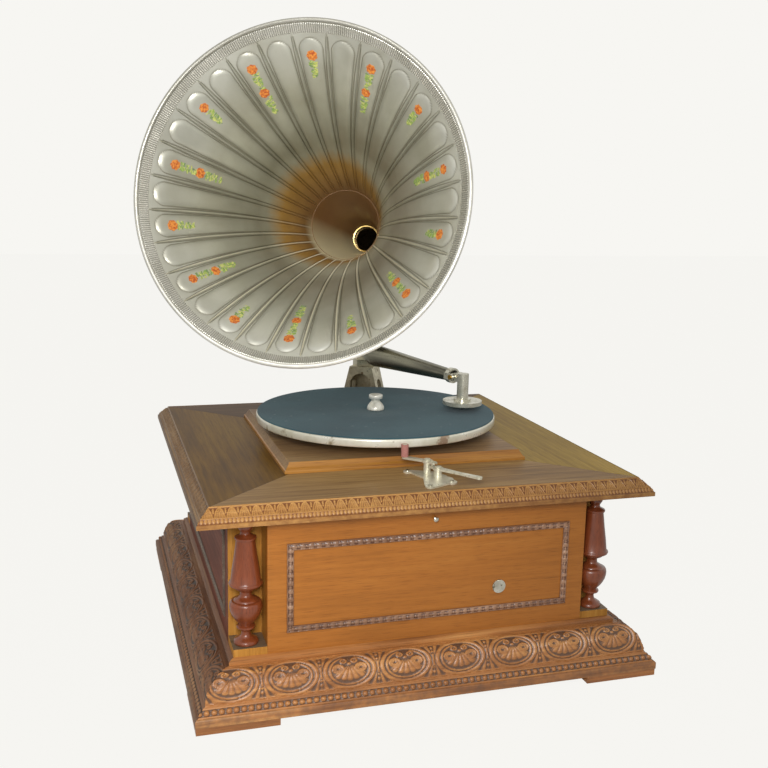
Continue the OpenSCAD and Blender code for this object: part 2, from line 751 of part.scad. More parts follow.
module intermediate_arbor() color("#a88438") placed() {
  translate([inter_x, inter_y, 0]) {
    translate([0, 0, plate_low_z + 1.2]) cylinder(r = pivot_r, h = motor_gap + 3.4);
    translate([0, 0, train_low + 1]) cylinder(r = pivot_r + 1.2, h = motor_gap - 2);
    translate([0, 0, barrel_gear_z - 1])
      gear(pinion_n, gear_m, wheel_t + 3, barrel_dir);
    translate([0, 0, wheel_z])
      gear(wheel_n, gear_m, wheel_t, inter_dir + 180 + 180 / wheel_n);
  }
}

barrel_in_r = barrel_r - barrel_wall;

module spring_barrel() color("#b08d3c") placed() translate([crank_x, 0, 0]) difference() {
  union() {
    translate([0, 0, barrel_z]) cylinder(r = barrel_r, h = barrel_h);
    translate([0, 0, barrel_gear_z])
      gear(barrel_n, gear_m, wheel_t + 1, barrel_dir + 180 + 180 / barrel_n);
  }
  translate([0, 0, barrel_z + wheel_t + 1])
    cylinder(r = barrel_in_r, h = barrel_h);
  translate([0, 0, barrel_z - 1]) cylinder(r = arbor_r + fit, h = barrel_h);
}

module barrel_cover() color("#a07c34") placed()
  translate([crank_x, 0, barrel_top - 1.6]) ring(barrel_in_r, arbor_r + fit, 1.6);

// The mainspring: a flat strip wound from the arbor out to the barrel's wall
spring_r0 = arbor_r + 1.2;
spring_r1 = barrel_in_r - 1.2;
function spiral(t, side) =
  let(r = spring_r0 + (spring_r1 - spring_r0) * t + side * spring_t / 2,
      a = 360 * spring_turns * t)
  [r * cos(a), r * sin(a)];

module mainspring() color("#55595f") placed() {
  steps = 20 * spring_turns;
  translate([crank_x, 0, barrel_z + wheel_t + 1])
    linear_extrude(height = barrel_h - wheel_t - 1 - 1.6 - 1)
      polygon(concat([for (i = [0:steps]) spiral(i / steps, -1)],
                     [for (i = [steps:-1:0]) spiral(i / steps, 1)]));
}

module spring_arbor() color("#9a9a9a") placed() translate([crank_x, 0, 0]) {
  translate([0, 0, crown_disc_z]) cylinder(r = arbor_r, h = plate_top_z + 1.8 - crown_disc_z);
  translate([0, 0, crown_disc_z]) ring(crown_r + 3, arbor_r - 1, 2.4);
  translate([0, 0, train_low + play]) cylinder(r = arbor_r + 3, h = barrel_z - train_low - 2 * play);
  for (i = [0:crown_n - 1]) rotate([0, 0, 360 * (i + 0.5) / crown_n - 90])
    translate([crown_r - 2.5, 0, crown_low_z]) rotate([90, 0, 90])
      linear_extrude(height = 5)
        polygon([[-crown_tooth() * 0.5, 0], [crown_tooth() * 0.5, 0],
                 [crown_tooth(), crown_tooth_h + 0.1],
                 [-crown_tooth(), crown_tooth_h + 0.1]]);
}
function crown_tooth() = 0.62 * crown_module;

module winding_shaft() color("#9a9a9a") placed() translate([crank_x, 0, crank_z]) {
  difference() {
    translate([0, winding_y0, 0]) rotate([-90, 0, 0])
      cylinder(r = winding_r, h = -winding_y0 - crown_r + 6);
    translate([-0.8, winding_y0 - 1, -winding_r]) cube([1.6, 5, 2 * winding_r]);
  }
  translate([0, -crown_r - 2.6, 0]) rotate([-90, 0, 0])
    gear(winding_n, crown_module, 5.2, 90);
  for (y = [hanger_ys()[1] - 3 - play, hanger_ys()[1] + hanger_t + play])
    translate([0, y, 0]) rotate([-90, 0, 0]) cylinder(r = winding_r + 2, h = 3);
}

governor_low = train_low + 8;

module governor_spindle() color("#9a9a9a") placed() translate([governor_x, 0, 0]) {
  translate([0, 0, plate_low_z + 1.2]) cylinder(r = pivot_r, h = motor_gap + 3.4);
  translate([0, 0, governor_wheel_z - 1]) gear(pinion_n, gear_m, wheel_t + 2, 180 / pinion_n);
  translate([0, 0, governor_wheel_z - 6]) cylinder(r = 5, h = 4);
  translate([0, 0, governor_low]) cylinder(r = 5, h = 4);
  translate([0, 0, governor_low - 2.4]) cylinder(r = 12, h = 1.6);
  translate([0, 0, governor_low - 1]) cylinder(r = 4, h = 2);
}

// Three balls on leaf springs between the governor's collars
module governor_balls() color("#b08d3c") placed() translate([governor_x, 0, 0])
  for (a = [0, 120, 240]) rotate([0, 0, a]) {
    z0 = governor_low + 4;
    z1 = governor_wheel_z - 6;
    leaf = 0.6;
    leaf_at = governor_ball_at - governor_ball_r - 0.6;
    translate([governor_ball_at, 0, (z0 + z1) / 2])
      sphere(r = governor_ball_r, $fn = 32);
    for (z = [z0, z1 - leaf])
      translate([pivot_r + 0.6, -1.2, z]) cube([leaf_at - pivot_r + 0.6, 2.4, leaf]);
    translate([leaf_at, -1.2, z0]) cube([1.2, 2.4, z1 - z0]);
  }

// Bracket and tonearm

bracket_pad_t = 3;
// The casting's size at its shoulder, the width of its arch, and its screws' places
shoulder = [29, feet_d];
arch_r = 13.5;
screws_at = [8, feet_d / 2 + 4.3];

// Puts the turned casting's own frame on the lid, under the collar
module at_bracket() {
  translate([pivot_x - 1, pivot_y + 26, lid_top]) rotate([0, 0, -feet_turn]) children();
}

module back_bracket() color("#9c998c") placed() {
  bx = pivot_x;
  at_bracket() {
    // Foot plate, screwed down in front of the casting and behind it
    translate([-12, -screws_at[1] - 3.7, 0]) cube([24, 2 * screws_at[1] + 7.4, bracket_pad_t]);
    // Hollow tapered casting, open in front and at both sides
    difference() {
      hull() {
        translate([-feet_w / 2, -feet_d / 2, 0]) cube([feet_w, feet_d, 1]);
        translate([-shoulder[0] / 2, -shoulder[1] / 2, arch_h - 1])
          cube([shoulder[0], shoulder[1], 1]);
      }
      translate([-arch_r, -30, -1]) cube([2 * arch_r, 39, arch_h - 22 + 1]);
      translate([0, 9, arch_h - 22]) rotate([90, 0, 0]) cylinder(r = arch_r, h = 39);
      translate([-60, -6, -1]) cube([120, 12, arch_h - 22 + 1]);
      translate([-60, 0, arch_h - 22]) rotate([0, 90, 0]) cylinder(r = 6, h = 120);
    }
  }
  translate([bx - 12, bracket_y - 10, lid_top + arch_h - 1]) cube([24, 20, 9]);
  // The neck rises from the block and reaches forward to the collar
  translate([bx, bracket_y, lid_top + arch_h + 6])
    cylinder(r1 = 10, r2 = 8, h = collar_z + 8 - lid_top - arch_h - 6);
  difference() {
    union() {
      translate([bx, pivot_y, collar_z]) cylinder(r = collar_r, h = collar_h);
      translate([bx - 8, pivot_y + collar_r - 6, collar_z])
        cube([16, column_back - collar_r + 6, 14]);
      translate([bx, bracket_y, collar_z]) cylinder(r = 8, h = 14);
    }
    translate([bx, pivot_y, collar_z - 1]) cylinder(r = arm_r + fit, h = collar_h + 2);
    translate([bx, pivot_y, spigot_ledge]) cylinder(r = elbow_r + fit, h = collar_h);
  }
}

module deck_screws() color("#b4ae9c") placed() {
  for (i = [-1, 1]) for (j = [-1, 1])
    at_bracket() translate([i * screws_at[0], j * screws_at[1], bracket_pad_t])
      difference() {
        cylinder(r = 1.9, h = 1.2);
        translate([-3, -0.3, 0.7]) cube([6, 0.6, 1]);
      }
  for (q = plate_screws()) translate([q[0], q[1], lid_top + plate_h]) difference() {
    cylinder(r = 2, h = 1.2);
    translate([-3, -0.3, 0.7]) cube([6, 0.6, 1]);
  }
}

arm_end = arm_len - yoke_in;

module arm_frame() {
  translate([pivot_x, pivot_y, arm_z]) rotate([0, 0, -90 + arm_turn]) children();
}

module tonearm() color("#6f6e66") placed() arm_frame() {
  // Vertical spigot with the lip that hangs on the collar's ledge
  translate([0, 0, arm_bend]) tube(arm_r, tube_wall, spigot_ledge - arm_z - arm_bend + 0.1);
  translate([0, 0, spigot_ledge - arm_z + 0.1]) ring(elbow_r - 0.3, arm_r - tube_wall, 1.6);
  // Bend from upright to level
  translate([arm_bend, 0, arm_bend]) rotate([-90, 0, 0]) rotate([0, 0, 90])
    rotate_extrude(angle = 90) difference() {
      translate([arm_bend, 0]) circle(r = arm_r);
      translate([arm_bend, 0]) circle(r = arm_r - tube_wall);
    }
  // Tapered tube
  translate([arm_bend, 0, 0]) rotate([0, 90, 0]) difference() {
    cylinder(r1 = arm_r, r2 = arm_tip_r, h = arm_end - arm_bend - 4);
    translate([0, 0, -0.01]) cylinder(r1 = arm_r - tube_wall, r2 = arm_tip_r - tube_wall,
                                      h = arm_end - arm_bend - 3.9);
  }
}

yoke_half = tube_r + 3;
// The arm's outer radius at a distance x from its pivot, and a push fit
function arm_taper(x) = arm_r + 0.03
  + (arm_tip_r - arm_r) * (x - arm_bend) / (arm_end - arm_bend - 4);
yoke_gap = 0.35;

// The fork on the arm's end that the sound box swings up in
module arm_yoke() color("#a9a698") placed() arm_frame() {
  translate([arm_end - 10, 0, 0]) rotate([0, 90, 0]) difference() {
    cylinder(r = arm_tip_r + 2.1, h = 6);
    translate([0, 0, -0.01])
      cylinder(r1 = arm_taper(arm_end - 10), r2 = arm_taper(arm_end - 4), h = 6.02);
  }
  for (s = [-1, 1]) difference() {
    union() {
      translate([arm_end - 10, s > 0 ? tube_r - 0.6 : -yoke_half, -3.4])
        cube([11, yoke_half - tube_r + 0.6, 6.8]);
      translate([arm_end + 1, s * yoke_half, 0]) rotate([s * 90, 0, 0])
        cylinder(r = 3.4, h = yoke_half - tube_r - yoke_gap);
    }
    translate([arm_end + 1, 0, 0]) rotate([90, 0, 0])
      cylinder(r = yoke_screw_r + fit, h = 60, center = true);
    translate([arm_end - 3.5, s * (tube_r + yoke_gap - 10), 0])
      cube([20, 20, 20], center = true);
  }
}

module yoke_screws() color("#c9a24a") placed() arm_frame() for (s = [-1, 1]) {
  translate([arm_end + 1, s * (yoke_half + 1.4), 0]) rotate([s * 90, 0, 0])
    cylinder(r = 2.6, h = 1.35);
  translate([arm_end + 1, s * (yoke_half + 0.4), 0]) rotate([s * 90, 0, 0])
    cylinder(r = yoke_screw_r, h = yoke_half - tube_r + 2);
}

// The sound box hangs from its upright tube, between the yoke's ears
module sound_box() color("#c2bfb2") placed() arm_frame() {
  zb = box_under - arm_z;
  zt = box_top - arm_z;
  difference() {
    union() {
      translate([yoke_in + arm_end, 0, zt - 0.5]) cylinder(r = tube_r, h = 5.5 - zt);
      translate([arm_end - 0.5, -tube_r + 0.05, -4]) cube([yoke_in, 2 * tube_r - 0.1, 8]);
      translate([arm_len, 0, zb]) cylinder(r1 = box_r - 4.4, r2 = box_r - 3.2, h = box_step);
      translate([arm_len, 0, zb + box_step]) cylinder(r = box_r, h = box_h - box_step);
      translate([arm_len, 0, zt]) cylinder(r = tube_r + 3, h = 2);
    }
    translate([arm_len, 0, zb - 1]) cylinder(r = tube_r - tube_wall, h = arm_z - box_under + 1);
    translate([arm_len, 0, zb + box_seat])
      cylinder(r = box_r - 2, h = 2 * gasket_t + diaphragm_t);
    translate([arm_end - 2, 0, 0]) rotate([0, 90, 0]) cylinder(r = 3, h = yoke_in + 2);
    translate([arm_len, 0, zb - 1]) cylinder(r = box_r - 6, h = box_seat + 1.1);
    translate([arm_end + 1, 0, 0]) rotate([90, 0, 0])
      cylinder(r = yoke_screw_r + fit, h = 60, center = true);
  }
}

module diaphragm() color("#3c3a36") placed() arm_frame()
  translate([arm_len, 0, box_under - arm_z + box_seat]) {
    ring(box_r - 2, box_r - 4, gasket_t);
    translate([0, 0, gasket_t]) cylinder(r = box_r - 2, h = diaphragm_t);
    translate([0, 0, gasket_t + diaphragm_t]) ring(box_r - 2, box_r - 4, gasket_t);
  }

module stylus() color("#8a8a86") placed() arm_frame()
  translate([arm_len, 0, platter_top + stylus_up - arm_z]) {
    cylinder(r1 = 0.3, r2 = 0.9, h = 1.6);
    translate([0, 0, 1.6]) cylinder(r = 1.4, h = box_under + box_seat + gasket_t
                                    - platter_top - stylus_up - 1.6);
  }

// Horn: each piece is turned about the horn's own axis

module horn_frame() {
  translate([pivot_x, pivot_y, 0]) rotate([0, 0, -90 - horn_turn]) children();
}

elbow_sweep = 90 - horn_tilt;
ring_run = 5;

// Turns about the elbow's bend: 0 is its foot, elbow_sweep its far end
module elbow_turn(angle) {
  horn_frame() translate([elbow_bend, 0, elbow_z]) rotate([-90, 0, 0])
    rotate([0, 0, 180 + angle]) children();
}

module horn_axis(from) {
  elbow_turn(elbow_sweep) translate([elbow_bend, 0, 0]) rotate([-90, 0, 0])
    translate([0, 0, from + ring_run]) children();
}

function horn_radius(t) = mouth_r * exp(-horn_k * (horn_len - t));
function horn_steps(t0, t1, n) = [for (i = [0:n]) t0 + (t1 - t0) * i / n];

module horn_skin(t0, t1, n) {
  ts = horn_steps(t0, t1, n);
  rotate_extrude($fn = 72) polygon(concat(
    [for (t = ts) [horn_radius(t), t]],
    [for (i = [n:-1:0]) [horn_radius(ts[i]) + horn_wall, ts[i]]]));
}

module horn_elbow() color("#8a7a4a") placed() {
  horn_frame() {
    translate([0, 0, spigot_ledge + 2.4])
      tube(elbow_r, tube_wall, elbow_z - spigot_ledge - 2.4);
    translate([0, 0, collar_top + 0.05]) ring(collar_r, elbow_r - 0.5, 3);
  }
  elbow_turn(0) rotate_extrude(angle = elbow_sweep) translate([elbow_bend, 0])
    difference() {
      circle(r = elbow_r);
      circle(r = elbow_r - tube_wall);
    }
  horn_axis(-ring_run - 0.5) ring(elbow_r + 0.4, elbow_r - 0.7, ring_run + 3.4);
}

module horn_throat() color("#5a3c20") placed() {
  horn_axis(0) horn_skin(3.4, throat_len, 6);
  horn_axis(-ring_run + 1) ring(elbow_r + 3.4, elbow_r + 0.42, ring_run + 2);
  horn_axis(3) ring(elbow_r + 3.4, throat_r + 0.6, 1);
}

module horn_bell() color("#8f8d84") placed()
  horn_axis(0) horn_skin(throat_len + 0.02, horn_len, 14);

module horn_rim() color("#b9b7ae") placed()
  horn_axis(horn_len) rotate_extrude($fn = 72) difference() {
    translate([mouth_r + rim_r - 2.2, -0.4]) circle(r = rim_r, $fn = 24);
    translate([mouth_r - 6.2, -20]) square([6.2 + horn_wall + 0.02, 20]);
  }

// Brake

// The brake plate's outline and its screws, from the arm's pivot
plate_outline = [[-18, 13], [-12, 13], [4, 5], [18, -21], [16, -34], [8, -37],
                 [-6, -44], [-15, -44], [-14, -33], [-8, -13], [-14, 5]];
function plate_screws() =
  [for (q = [[-16, 10], [13, -32], [-11, -41]]) [brake_x + q[0], -brake_y + q[1]]];
plate_h = 1.6;

brake_z = lid_top + brake_post_h;
handle_z = lid_top + handle_post_h;

brake_t = 2;

// A post with its shouldered screw, which holds a lever of thickness brake_t
module brake_post(r, h) {
  cylinder(r = r, h = h - 0.05);
  cylinder(r = 1.5, h = h + brake_t + 0.6);
  translate([0, 0, h + brake_t + 0.1]) difference() {
    cylinder(r = 3, h = 1.2);
    translate([-5, -0.4, 0.7]) cube([10, 0.8, 1]);
  }
}

module brake_plate() color("#b9b5a4") placed() translate([0, 0, lid_top]) {
  linear_extrude(height = plate_h)
    polygon([for (q = plate_outline) [brake_x + q[0], -brake_y + q[1]]]);
  for (q = [[plate_screws()[0], 4], [plate_screws()[1], 5], [plate_screws()[2], 4.6],
            [[brake_x, -brake_y], 8], [[handle_x, -handle_y], 9]])
    translate(q[0]) cylinder(r = q[1], h = plate_h);
  translate([brake_x, -brake_y, 0]) brake_post(brake_post_r, brake_post_h);
  translate([handle_x, -handle_y, 0]) brake_post(handle_post_r, handle_post_h);
}

pad_at = platter_r + pad_gap + pad_r;
pad_x = -9;
pad_y = -sqrt(pad_at * pad_at - pad_x * pad_x);
link = [handle_x - brake_x, -handle_y + brake_y];
link_len = norm(link);
link_share = 0.46;
link_pin_r = 1;

module brake_arm() color("#b9b5a4") placed() translate([0, 0, brake_z]) {
  difference() {
    union() {
      translate([brake_x, -brake_y, 0]) cylinder(r = 5, h = brake_t);
      hull() {
        translate([brake_x, -brake_y, 0]) cylinder(r = 2.6, h = brake_t, $fn = 32);
        translate([pad_x, pad_y, 0]) cylinder(r = 2.6, h = brake_t, $fn = 32);
      }
      hull() {
        translate([brake_x, -brake_y, 0]) cylinder(r = 3.4, h = brake_t, $fn = 32);
        translate([brake_x + link[0] * 0.62, -brake_y + link[1] * 0.62, 0])
          cylinder(r = 3, h = brake_t, $fn = 32);
      }
      translate([pad_x, pad_y, 0]) cylinder(r = pad_r * 0.7, h = pad_h);
    }
    translate([brake_x, -brake_y, -1]) cylinder(r = 1.5 + fit, h = brake_t + 2);
    // Slot for the handle's pin
    translate([brake_x, -brake_y, 0]) rotate([0, 0, atan2(link[1], link[0])])
      translate([link_len * link_share - 2.6, -link_pin_r - 0.5, -1])
        cube([12, 2 * link_pin_r + 1, brake_t + 2]);
  }
}

// A sleeve on the arm's upright finger
module brake_pad() color("#b06a5e") placed()
  translate([pad_x, pad_y, brake_z + brake_t])
    ring(pad_r, pad_r * 0.7, pad_h - brake_t);

module brake_handle() color("#c4c0b0") placed() translate([handle_x, -handle_y, handle_z]) {
  dir = atan2(-39, 28);
  difference() {
    union() {
      cylinder(r = 5, h = brake_t);
      rotate([0, 0, dir]) hull() {
        cylinder(r = 3.4, h = brake_t, $fn = 32);
        translate([handle_len * 0.5, 0, 0]) cylinder(r = 1.9, h = brake_t, $fn = 32);
      }
      rotate([0, 0, dir]) hull() {
        translate([handle_len * 0.5, 0, 0]) cylinder(r = 1.9, h = brake_t, $fn = 32);
        translate([handle_len - 3, 0, 0]) cylinder(r = 2.8, h = brake_t, $fn = 32);
      }
      hull() {
        cylinder(r = 3, h = brake_t, $fn = 32);
        translate([-link[0] * (1 - link_share), -link[1] * (1 - link_share), 0])
          cylinder(r = 2.4, h = brake_t, $fn = 32);
      }
      translate([-link[0] * (1 - link_share), -link[1] * (1 - link_share), 0])
        cylinder(r = link_pin_r, h = brake_z + brake_t - handle_z - 0.2);
    }
    translate([0, 0, -1]) cylinder(r = 1.5 + fit, h = brake_t + 2);
  }
}

clamp_neck_r = spindle_r + 1.4;

module record_clamp() color("#c9c6b8") placed()
  translate([0, 0, platter_top + 0.35]) difference() {
    rotate_extrude() polygon(concat([[0, 0], [clamp_r - 1.2, 0]],
      [for (a = [0:15:60]) [clamp_r * cos(a), 1.2 + (clamp_h - 1.2) * sin(a) / 0.9]],
      [[clamp_neck_r, clamp_h + 0.6], [clamp_neck_r, clamp_h + 2.4],
       [clamp_cap_r - 1.4, clamp_h + 2.8], [clamp_cap_r, clamp_h + 4],
       [clamp_cap_r, clamp_h + 5.4], [clamp_cap_r - 1.6, clamp_h + 6.8],
       [0, clamp_h + 7.4]]));
    translate([0, 0, -1]) cylinder(r = spindle_r + fit, h = spindle_up + 1 + play);
  }

feet();
base_moulding_front();
base_moulding_back();
base_moulding_left();
base_moulding_right();
bottom_board();
front_panel();
back_panel();
left_panel();
right_panel();
corner_posts();
plinth_blocks();
columns();
front_beading();
side_beadings();
hinge_case_leaves();
catch_button();
catch_spring();
crank_hole_cover();
crank_cover_screw();
lid_board();
cornice_front();
cornice_back();
cornice_left();
cornice_right();
turntable_board();
hinge_lid_leaves();
motor_top_plate();
motor_bottom_plate();
motor_pillars();
motor_bolts();
platter();
platter_felt();
spindle();
spindle_gears();
record_clamp();
intermediate_arbor();
spring_barrel();
barrel_cover();
mainspring();
spring_arbor();
winding_shaft();
governor_spindle();
governor_balls();
back_bracket();
deck_screws();
tonearm();
arm_yoke();
yoke_screws();
sound_box();
diaphragm();
stylus();
horn_elbow();
horn_throat();
horn_bell();
horn_rim();
brake_plate();
brake_arm();
brake_pad();
brake_handle();
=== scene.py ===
# A table gramophone: a carved walnut case with corner columns, a hinged lid with its
# spring motor and turntable, a swinging tonearm and a big fluted horn.

from math import ceil, cos, dist, log, pi, radians, sin, sqrt

import bmesh
import bpy
import numpy as np
from mathutils import Matrix, Vector


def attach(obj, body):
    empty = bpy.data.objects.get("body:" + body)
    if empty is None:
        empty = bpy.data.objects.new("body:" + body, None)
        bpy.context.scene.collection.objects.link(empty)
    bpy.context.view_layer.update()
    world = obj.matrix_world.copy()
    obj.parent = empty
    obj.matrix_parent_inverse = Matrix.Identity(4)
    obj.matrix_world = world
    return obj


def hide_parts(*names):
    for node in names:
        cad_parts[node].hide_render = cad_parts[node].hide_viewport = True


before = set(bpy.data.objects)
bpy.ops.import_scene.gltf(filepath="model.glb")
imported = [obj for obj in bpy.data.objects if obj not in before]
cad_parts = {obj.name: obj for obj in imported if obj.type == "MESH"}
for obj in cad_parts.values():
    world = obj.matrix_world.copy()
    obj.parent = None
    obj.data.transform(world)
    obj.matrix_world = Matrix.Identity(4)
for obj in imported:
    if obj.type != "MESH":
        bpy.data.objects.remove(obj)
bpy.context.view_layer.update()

# The photographer's sweep of pale paper, a soft lamp beside the camera, a narrow one on
# the horn and weak daylight from the left. The paper runs out of the picture.

PAPER = (0.93, 0.921, 0.888, 1)


def finish(name, roughness=0.5, metallic=0.0, coat=0.0, coat_roughness=0.12):
    """A new material with its nodes and its surface shader."""
    material = bpy.data.materials.new(name)
    material.use_nodes = True
    surface = material.node_tree.nodes["Principled BSDF"]
    surface.inputs["Roughness"].default_value = roughness
    surface.inputs["Metallic"].default_value = metallic
    surface.inputs["Coat Weight"].default_value = coat
    surface.inputs["Coat Roughness"].default_value = coat_roughness
    return material, material.node_tree, surface


def add(tree, kind, settings=None, **inputs):
    """One node: settings are its properties, and inputs its sockets' values or links."""
    made = tree.nodes.new("ShaderNode" + kind)
    for key, value in (settings or {}).items():
        setattr(made, key, value)
    for key, value in inputs.items():
        socket = made.inputs[int(key[1:])] if key[0] == "_" else made.inputs[key]
        if isinstance(value, bpy.types.NodeSocket):
            tree.links.new(value, socket)
        else:
            socket.default_value = value
    return made


def colour(text):
    """Linear colour from the usual six hex digits."""
    parts = [int(text[i:i + 2], 16) / 255 for i in (0, 2, 4)]
    return tuple(c / 12.92 if c <= 0.04045 else ((c + 0.055) / 1.055) ** 2.4
                 for c in parts) + (1.0,)


def mix(tree, share, first, second, how="MIX"):
    """One colour with a share of another over it. Colours may be hex digits."""
    first, second = (colour(c) if isinstance(c, str) else c for c in (first, second))
    return add(tree, "MixRGB", {"blend_type": how}, Fac=share, Color1=first,
               Color2=second).outputs[0]


def joined(tree, operation, a, b):
    """Two values added, multiplied or compared."""
    return add(tree, "Math", {"operation": operation}, _0=a, _1=b).outputs[0]


def feed(surface, socket, value):
    """Links a value to one of the sockets of a surface or an output."""
    surface.id_data.links.new(value, surface.inputs[socket])


def roughen(surface, height, strength, **more):
    """Makes a surface look uneven where a height varies over it."""
    uneven = add(surface.id_data, "Bump", Strength=strength, Height=height, **more)
    feed(surface, "Normal", uneven.outputs[0])


def lamp(name, kind, energy, at, aim, **settings):
    """A lamp that stands at a point and shines towards another."""
    light = bpy.data.lights.new(name, kind)
    light.energy = energy
    for key, value in settings.items():
        setattr(light, key, value)
    made = bpy.data.objects.new(name, light)
    made.location = at
    made.rotation_euler = (Vector(at) - Vector(aim)).to_track_quat("Z", "Y").to_euler()
    bpy.context.scene.collection.objects.link(made)


paper, tree, surface = finish("backdrop_paper", roughness=0.95)
surface.inputs["Base Color"].default_value = PAPER
specks = add(tree, "TexNoise", Scale=900.0)
roughen(surface, specks.outputs["Fac"], 0.02)
rays = add(tree, "LightPath")
plain_paper = add(tree, "Emission", Color=PAPER)
flatness = joined(tree, "MULTIPLY", rays.outputs["Is Camera Ray"], 0.97)
both = add(tree, "MixShader", _0=flatness, _1=surface.outputs[0],
           _2=plain_paper.outputs[0])
feed(tree.nodes["Material Output"], "Surface", both.outputs[0])
HALF_PAPER = 6.0
floor = bpy.data.meshes.new("paper_floor")
floor.from_pydata([(x * HALF_PAPER, y * HALF_PAPER, 0)
                   for x, y in ((-1, -1), (1, -1), (1, 1), (-1, 1))], [], [(0, 1, 2, 3)])
floor.materials.append(paper)
paper_floor = bpy.data.objects.new("paper_floor", floor)
bpy.context.scene.collection.objects.link(paper_floor)

SKY_LEVEL = 0.30
world = bpy.data.worlds.new("soft_room")
world.use_nodes = True
tree = world.node_tree
room = tree.nodes["Background"]
rays = add(tree, "LightPath")
seen = joined(tree, "MAXIMUM", rays.outputs["Is Camera Ray"],
              rays.outputs["Is Transmission Ray"])
walls = mix(tree, rays.outputs["Is Glossy Ray"],
            (SKY_LEVEL, SKY_LEVEL, SKY_LEVEL * 0.98, 1), (0.84, 0.83, 0.79, 1))
feed(room, "Color", mix(tree, seen, walls, PAPER))
bpy.context.scene.world = world

lamp("window_light", "SUN", 0.55, (-0.42, -0.72, 0.85), (0, 0, 0), angle=radians(38))
lamp("camera_lamp", "AREA", 5.0, (-0.31, -0.95, 0.57), (0, 0, 0.3), shape="DISK",
     size=0.26)
lamp("horn_lamp", "SPOT", 30.0, (-0.55, -1.05, 0.90), (0.03, 0.12, 0.40),
     spot_size=radians(13), spot_blend=1.0, shadow_soft_size=0.06)

CAMERA_AT = (-0.2789, -0.9957, 0.4509)
CAMERA_TURN, CAMERA_DOWN, CAMERA_ROLL = 0.297, -0.191, 0.022
camera = bpy.data.cameras.new("photographer")
camera.lens = 46.45
camera.sensor_width = 36
camera_stand = bpy.data.objects.new("photographer", camera)
ahead = Vector((sin(CAMERA_TURN) * cos(CAMERA_DOWN),
                cos(CAMERA_TURN) * cos(CAMERA_DOWN), sin(CAMERA_DOWN)))
level = Vector((cos(CAMERA_TURN), -sin(CAMERA_TURN), 0))
above = level.cross(ahead)
rightward = cos(CAMERA_ROLL) * level + sin(CAMERA_ROLL) * above
upward = -sin(CAMERA_ROLL) * level + cos(CAMERA_ROLL) * above
stand = Matrix((rightward, upward, -ahead)).transposed().to_4x4()
stand.translation = CAMERA_AT
camera_stand.matrix_world = stand
bpy.context.scene.collection.objects.link(camera_stand)
bpy.context.scene.camera = camera_stand
bpy.context.scene.view_settings.view_transform = "Standard"

# Feet: four low L-shaped blocks of beech under the corners of the base, glued on and
# stained like the base. Their edges are worn pale where they rub on the table.

CASE_X = 17.0       # the case's middle stands this far right of the horn-and-case middle
BLACK, WHITE = (0, 0, 0, 1), (1, 1, 1, 1)


def place(points):
    """Metres in the shared frame from millimetres about the case's middle."""
    points = np.array(points, float)
    points[:, 0] += CASE_X
    return points / 1000


def piece(name, points, faces, material, body, replaced=(), slot=None, sharp=35,
          values=None, weld=True):
    """A new piece from points (case millimetres) and faces, riding on a body.
    values are numbers per point that its material reads, such as how high it is carved."""
    mesh = bpy.data.meshes.new(name)
    mesh.from_pydata(place(points).tolist(), [], [list(f) for f in faces])
    for key, numbers in (values or {}).items():
        store = mesh.attributes.new(key, "FLOAT", "POINT")
        store.data.foreach_set("value", np.asarray(numbers, np.float32))
    shape = bmesh.new()
    shape.from_mesh(mesh)
    if weld:
        bmesh.ops.remove_doubles(shape, verts=shape.verts, dist=2e-6)
    bmesh.ops.recalc_face_normals(shape, faces=shape.faces)
    shape.to_mesh(mesh)
    shape.free()
    for face in mesh.polygons:
        face.use_smooth = True
    mesh.set_sharp_from_angle(angle=radians(sharp))
    mesh.materials.append(material)
    made = bpy.data.objects.new(name, mesh)
    bpy.context.scene.collection.objects.link(made)
    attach(made, body)
    if replaced:
        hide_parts(*replaced)
    return made


def tones(tree, value, *stops):
    """The colour of a ramp over value. Its stops are (position, colour), both ends first."""
    made = add(tree, "ValToRGB", Fac=value)
    elements = made.color_ramp.elements
    for i, (at, shade) in enumerate(stops):
        stop = elements[i] if i < 2 else elements.new(at)
        stop.position = at
        stop.color = colour(shade) if isinstance(shade, str) else shade
    return made.outputs[0]


def noise(tree, where, scale, detail, **more):
    """Soft noise, from 0 to 1."""
    return add(tree, "TexNoise", Vector=where, Scale=scale, Detail=detail,
               **more).outputs["Fac"]


def rescaled(tree, value, *limits):
    """A value mapped from its limits to two new ones, and held between these."""
    limits = {"_%d" % (i + 1): limit for i, limit in enumerate(limits)}
    return add(tree, "MapRange", Value=value, **limits).outputs[0]


def object_place(tree):
    """The place on the object, in its own metres."""
    return add(tree, "TexCoord").outputs["Object"]


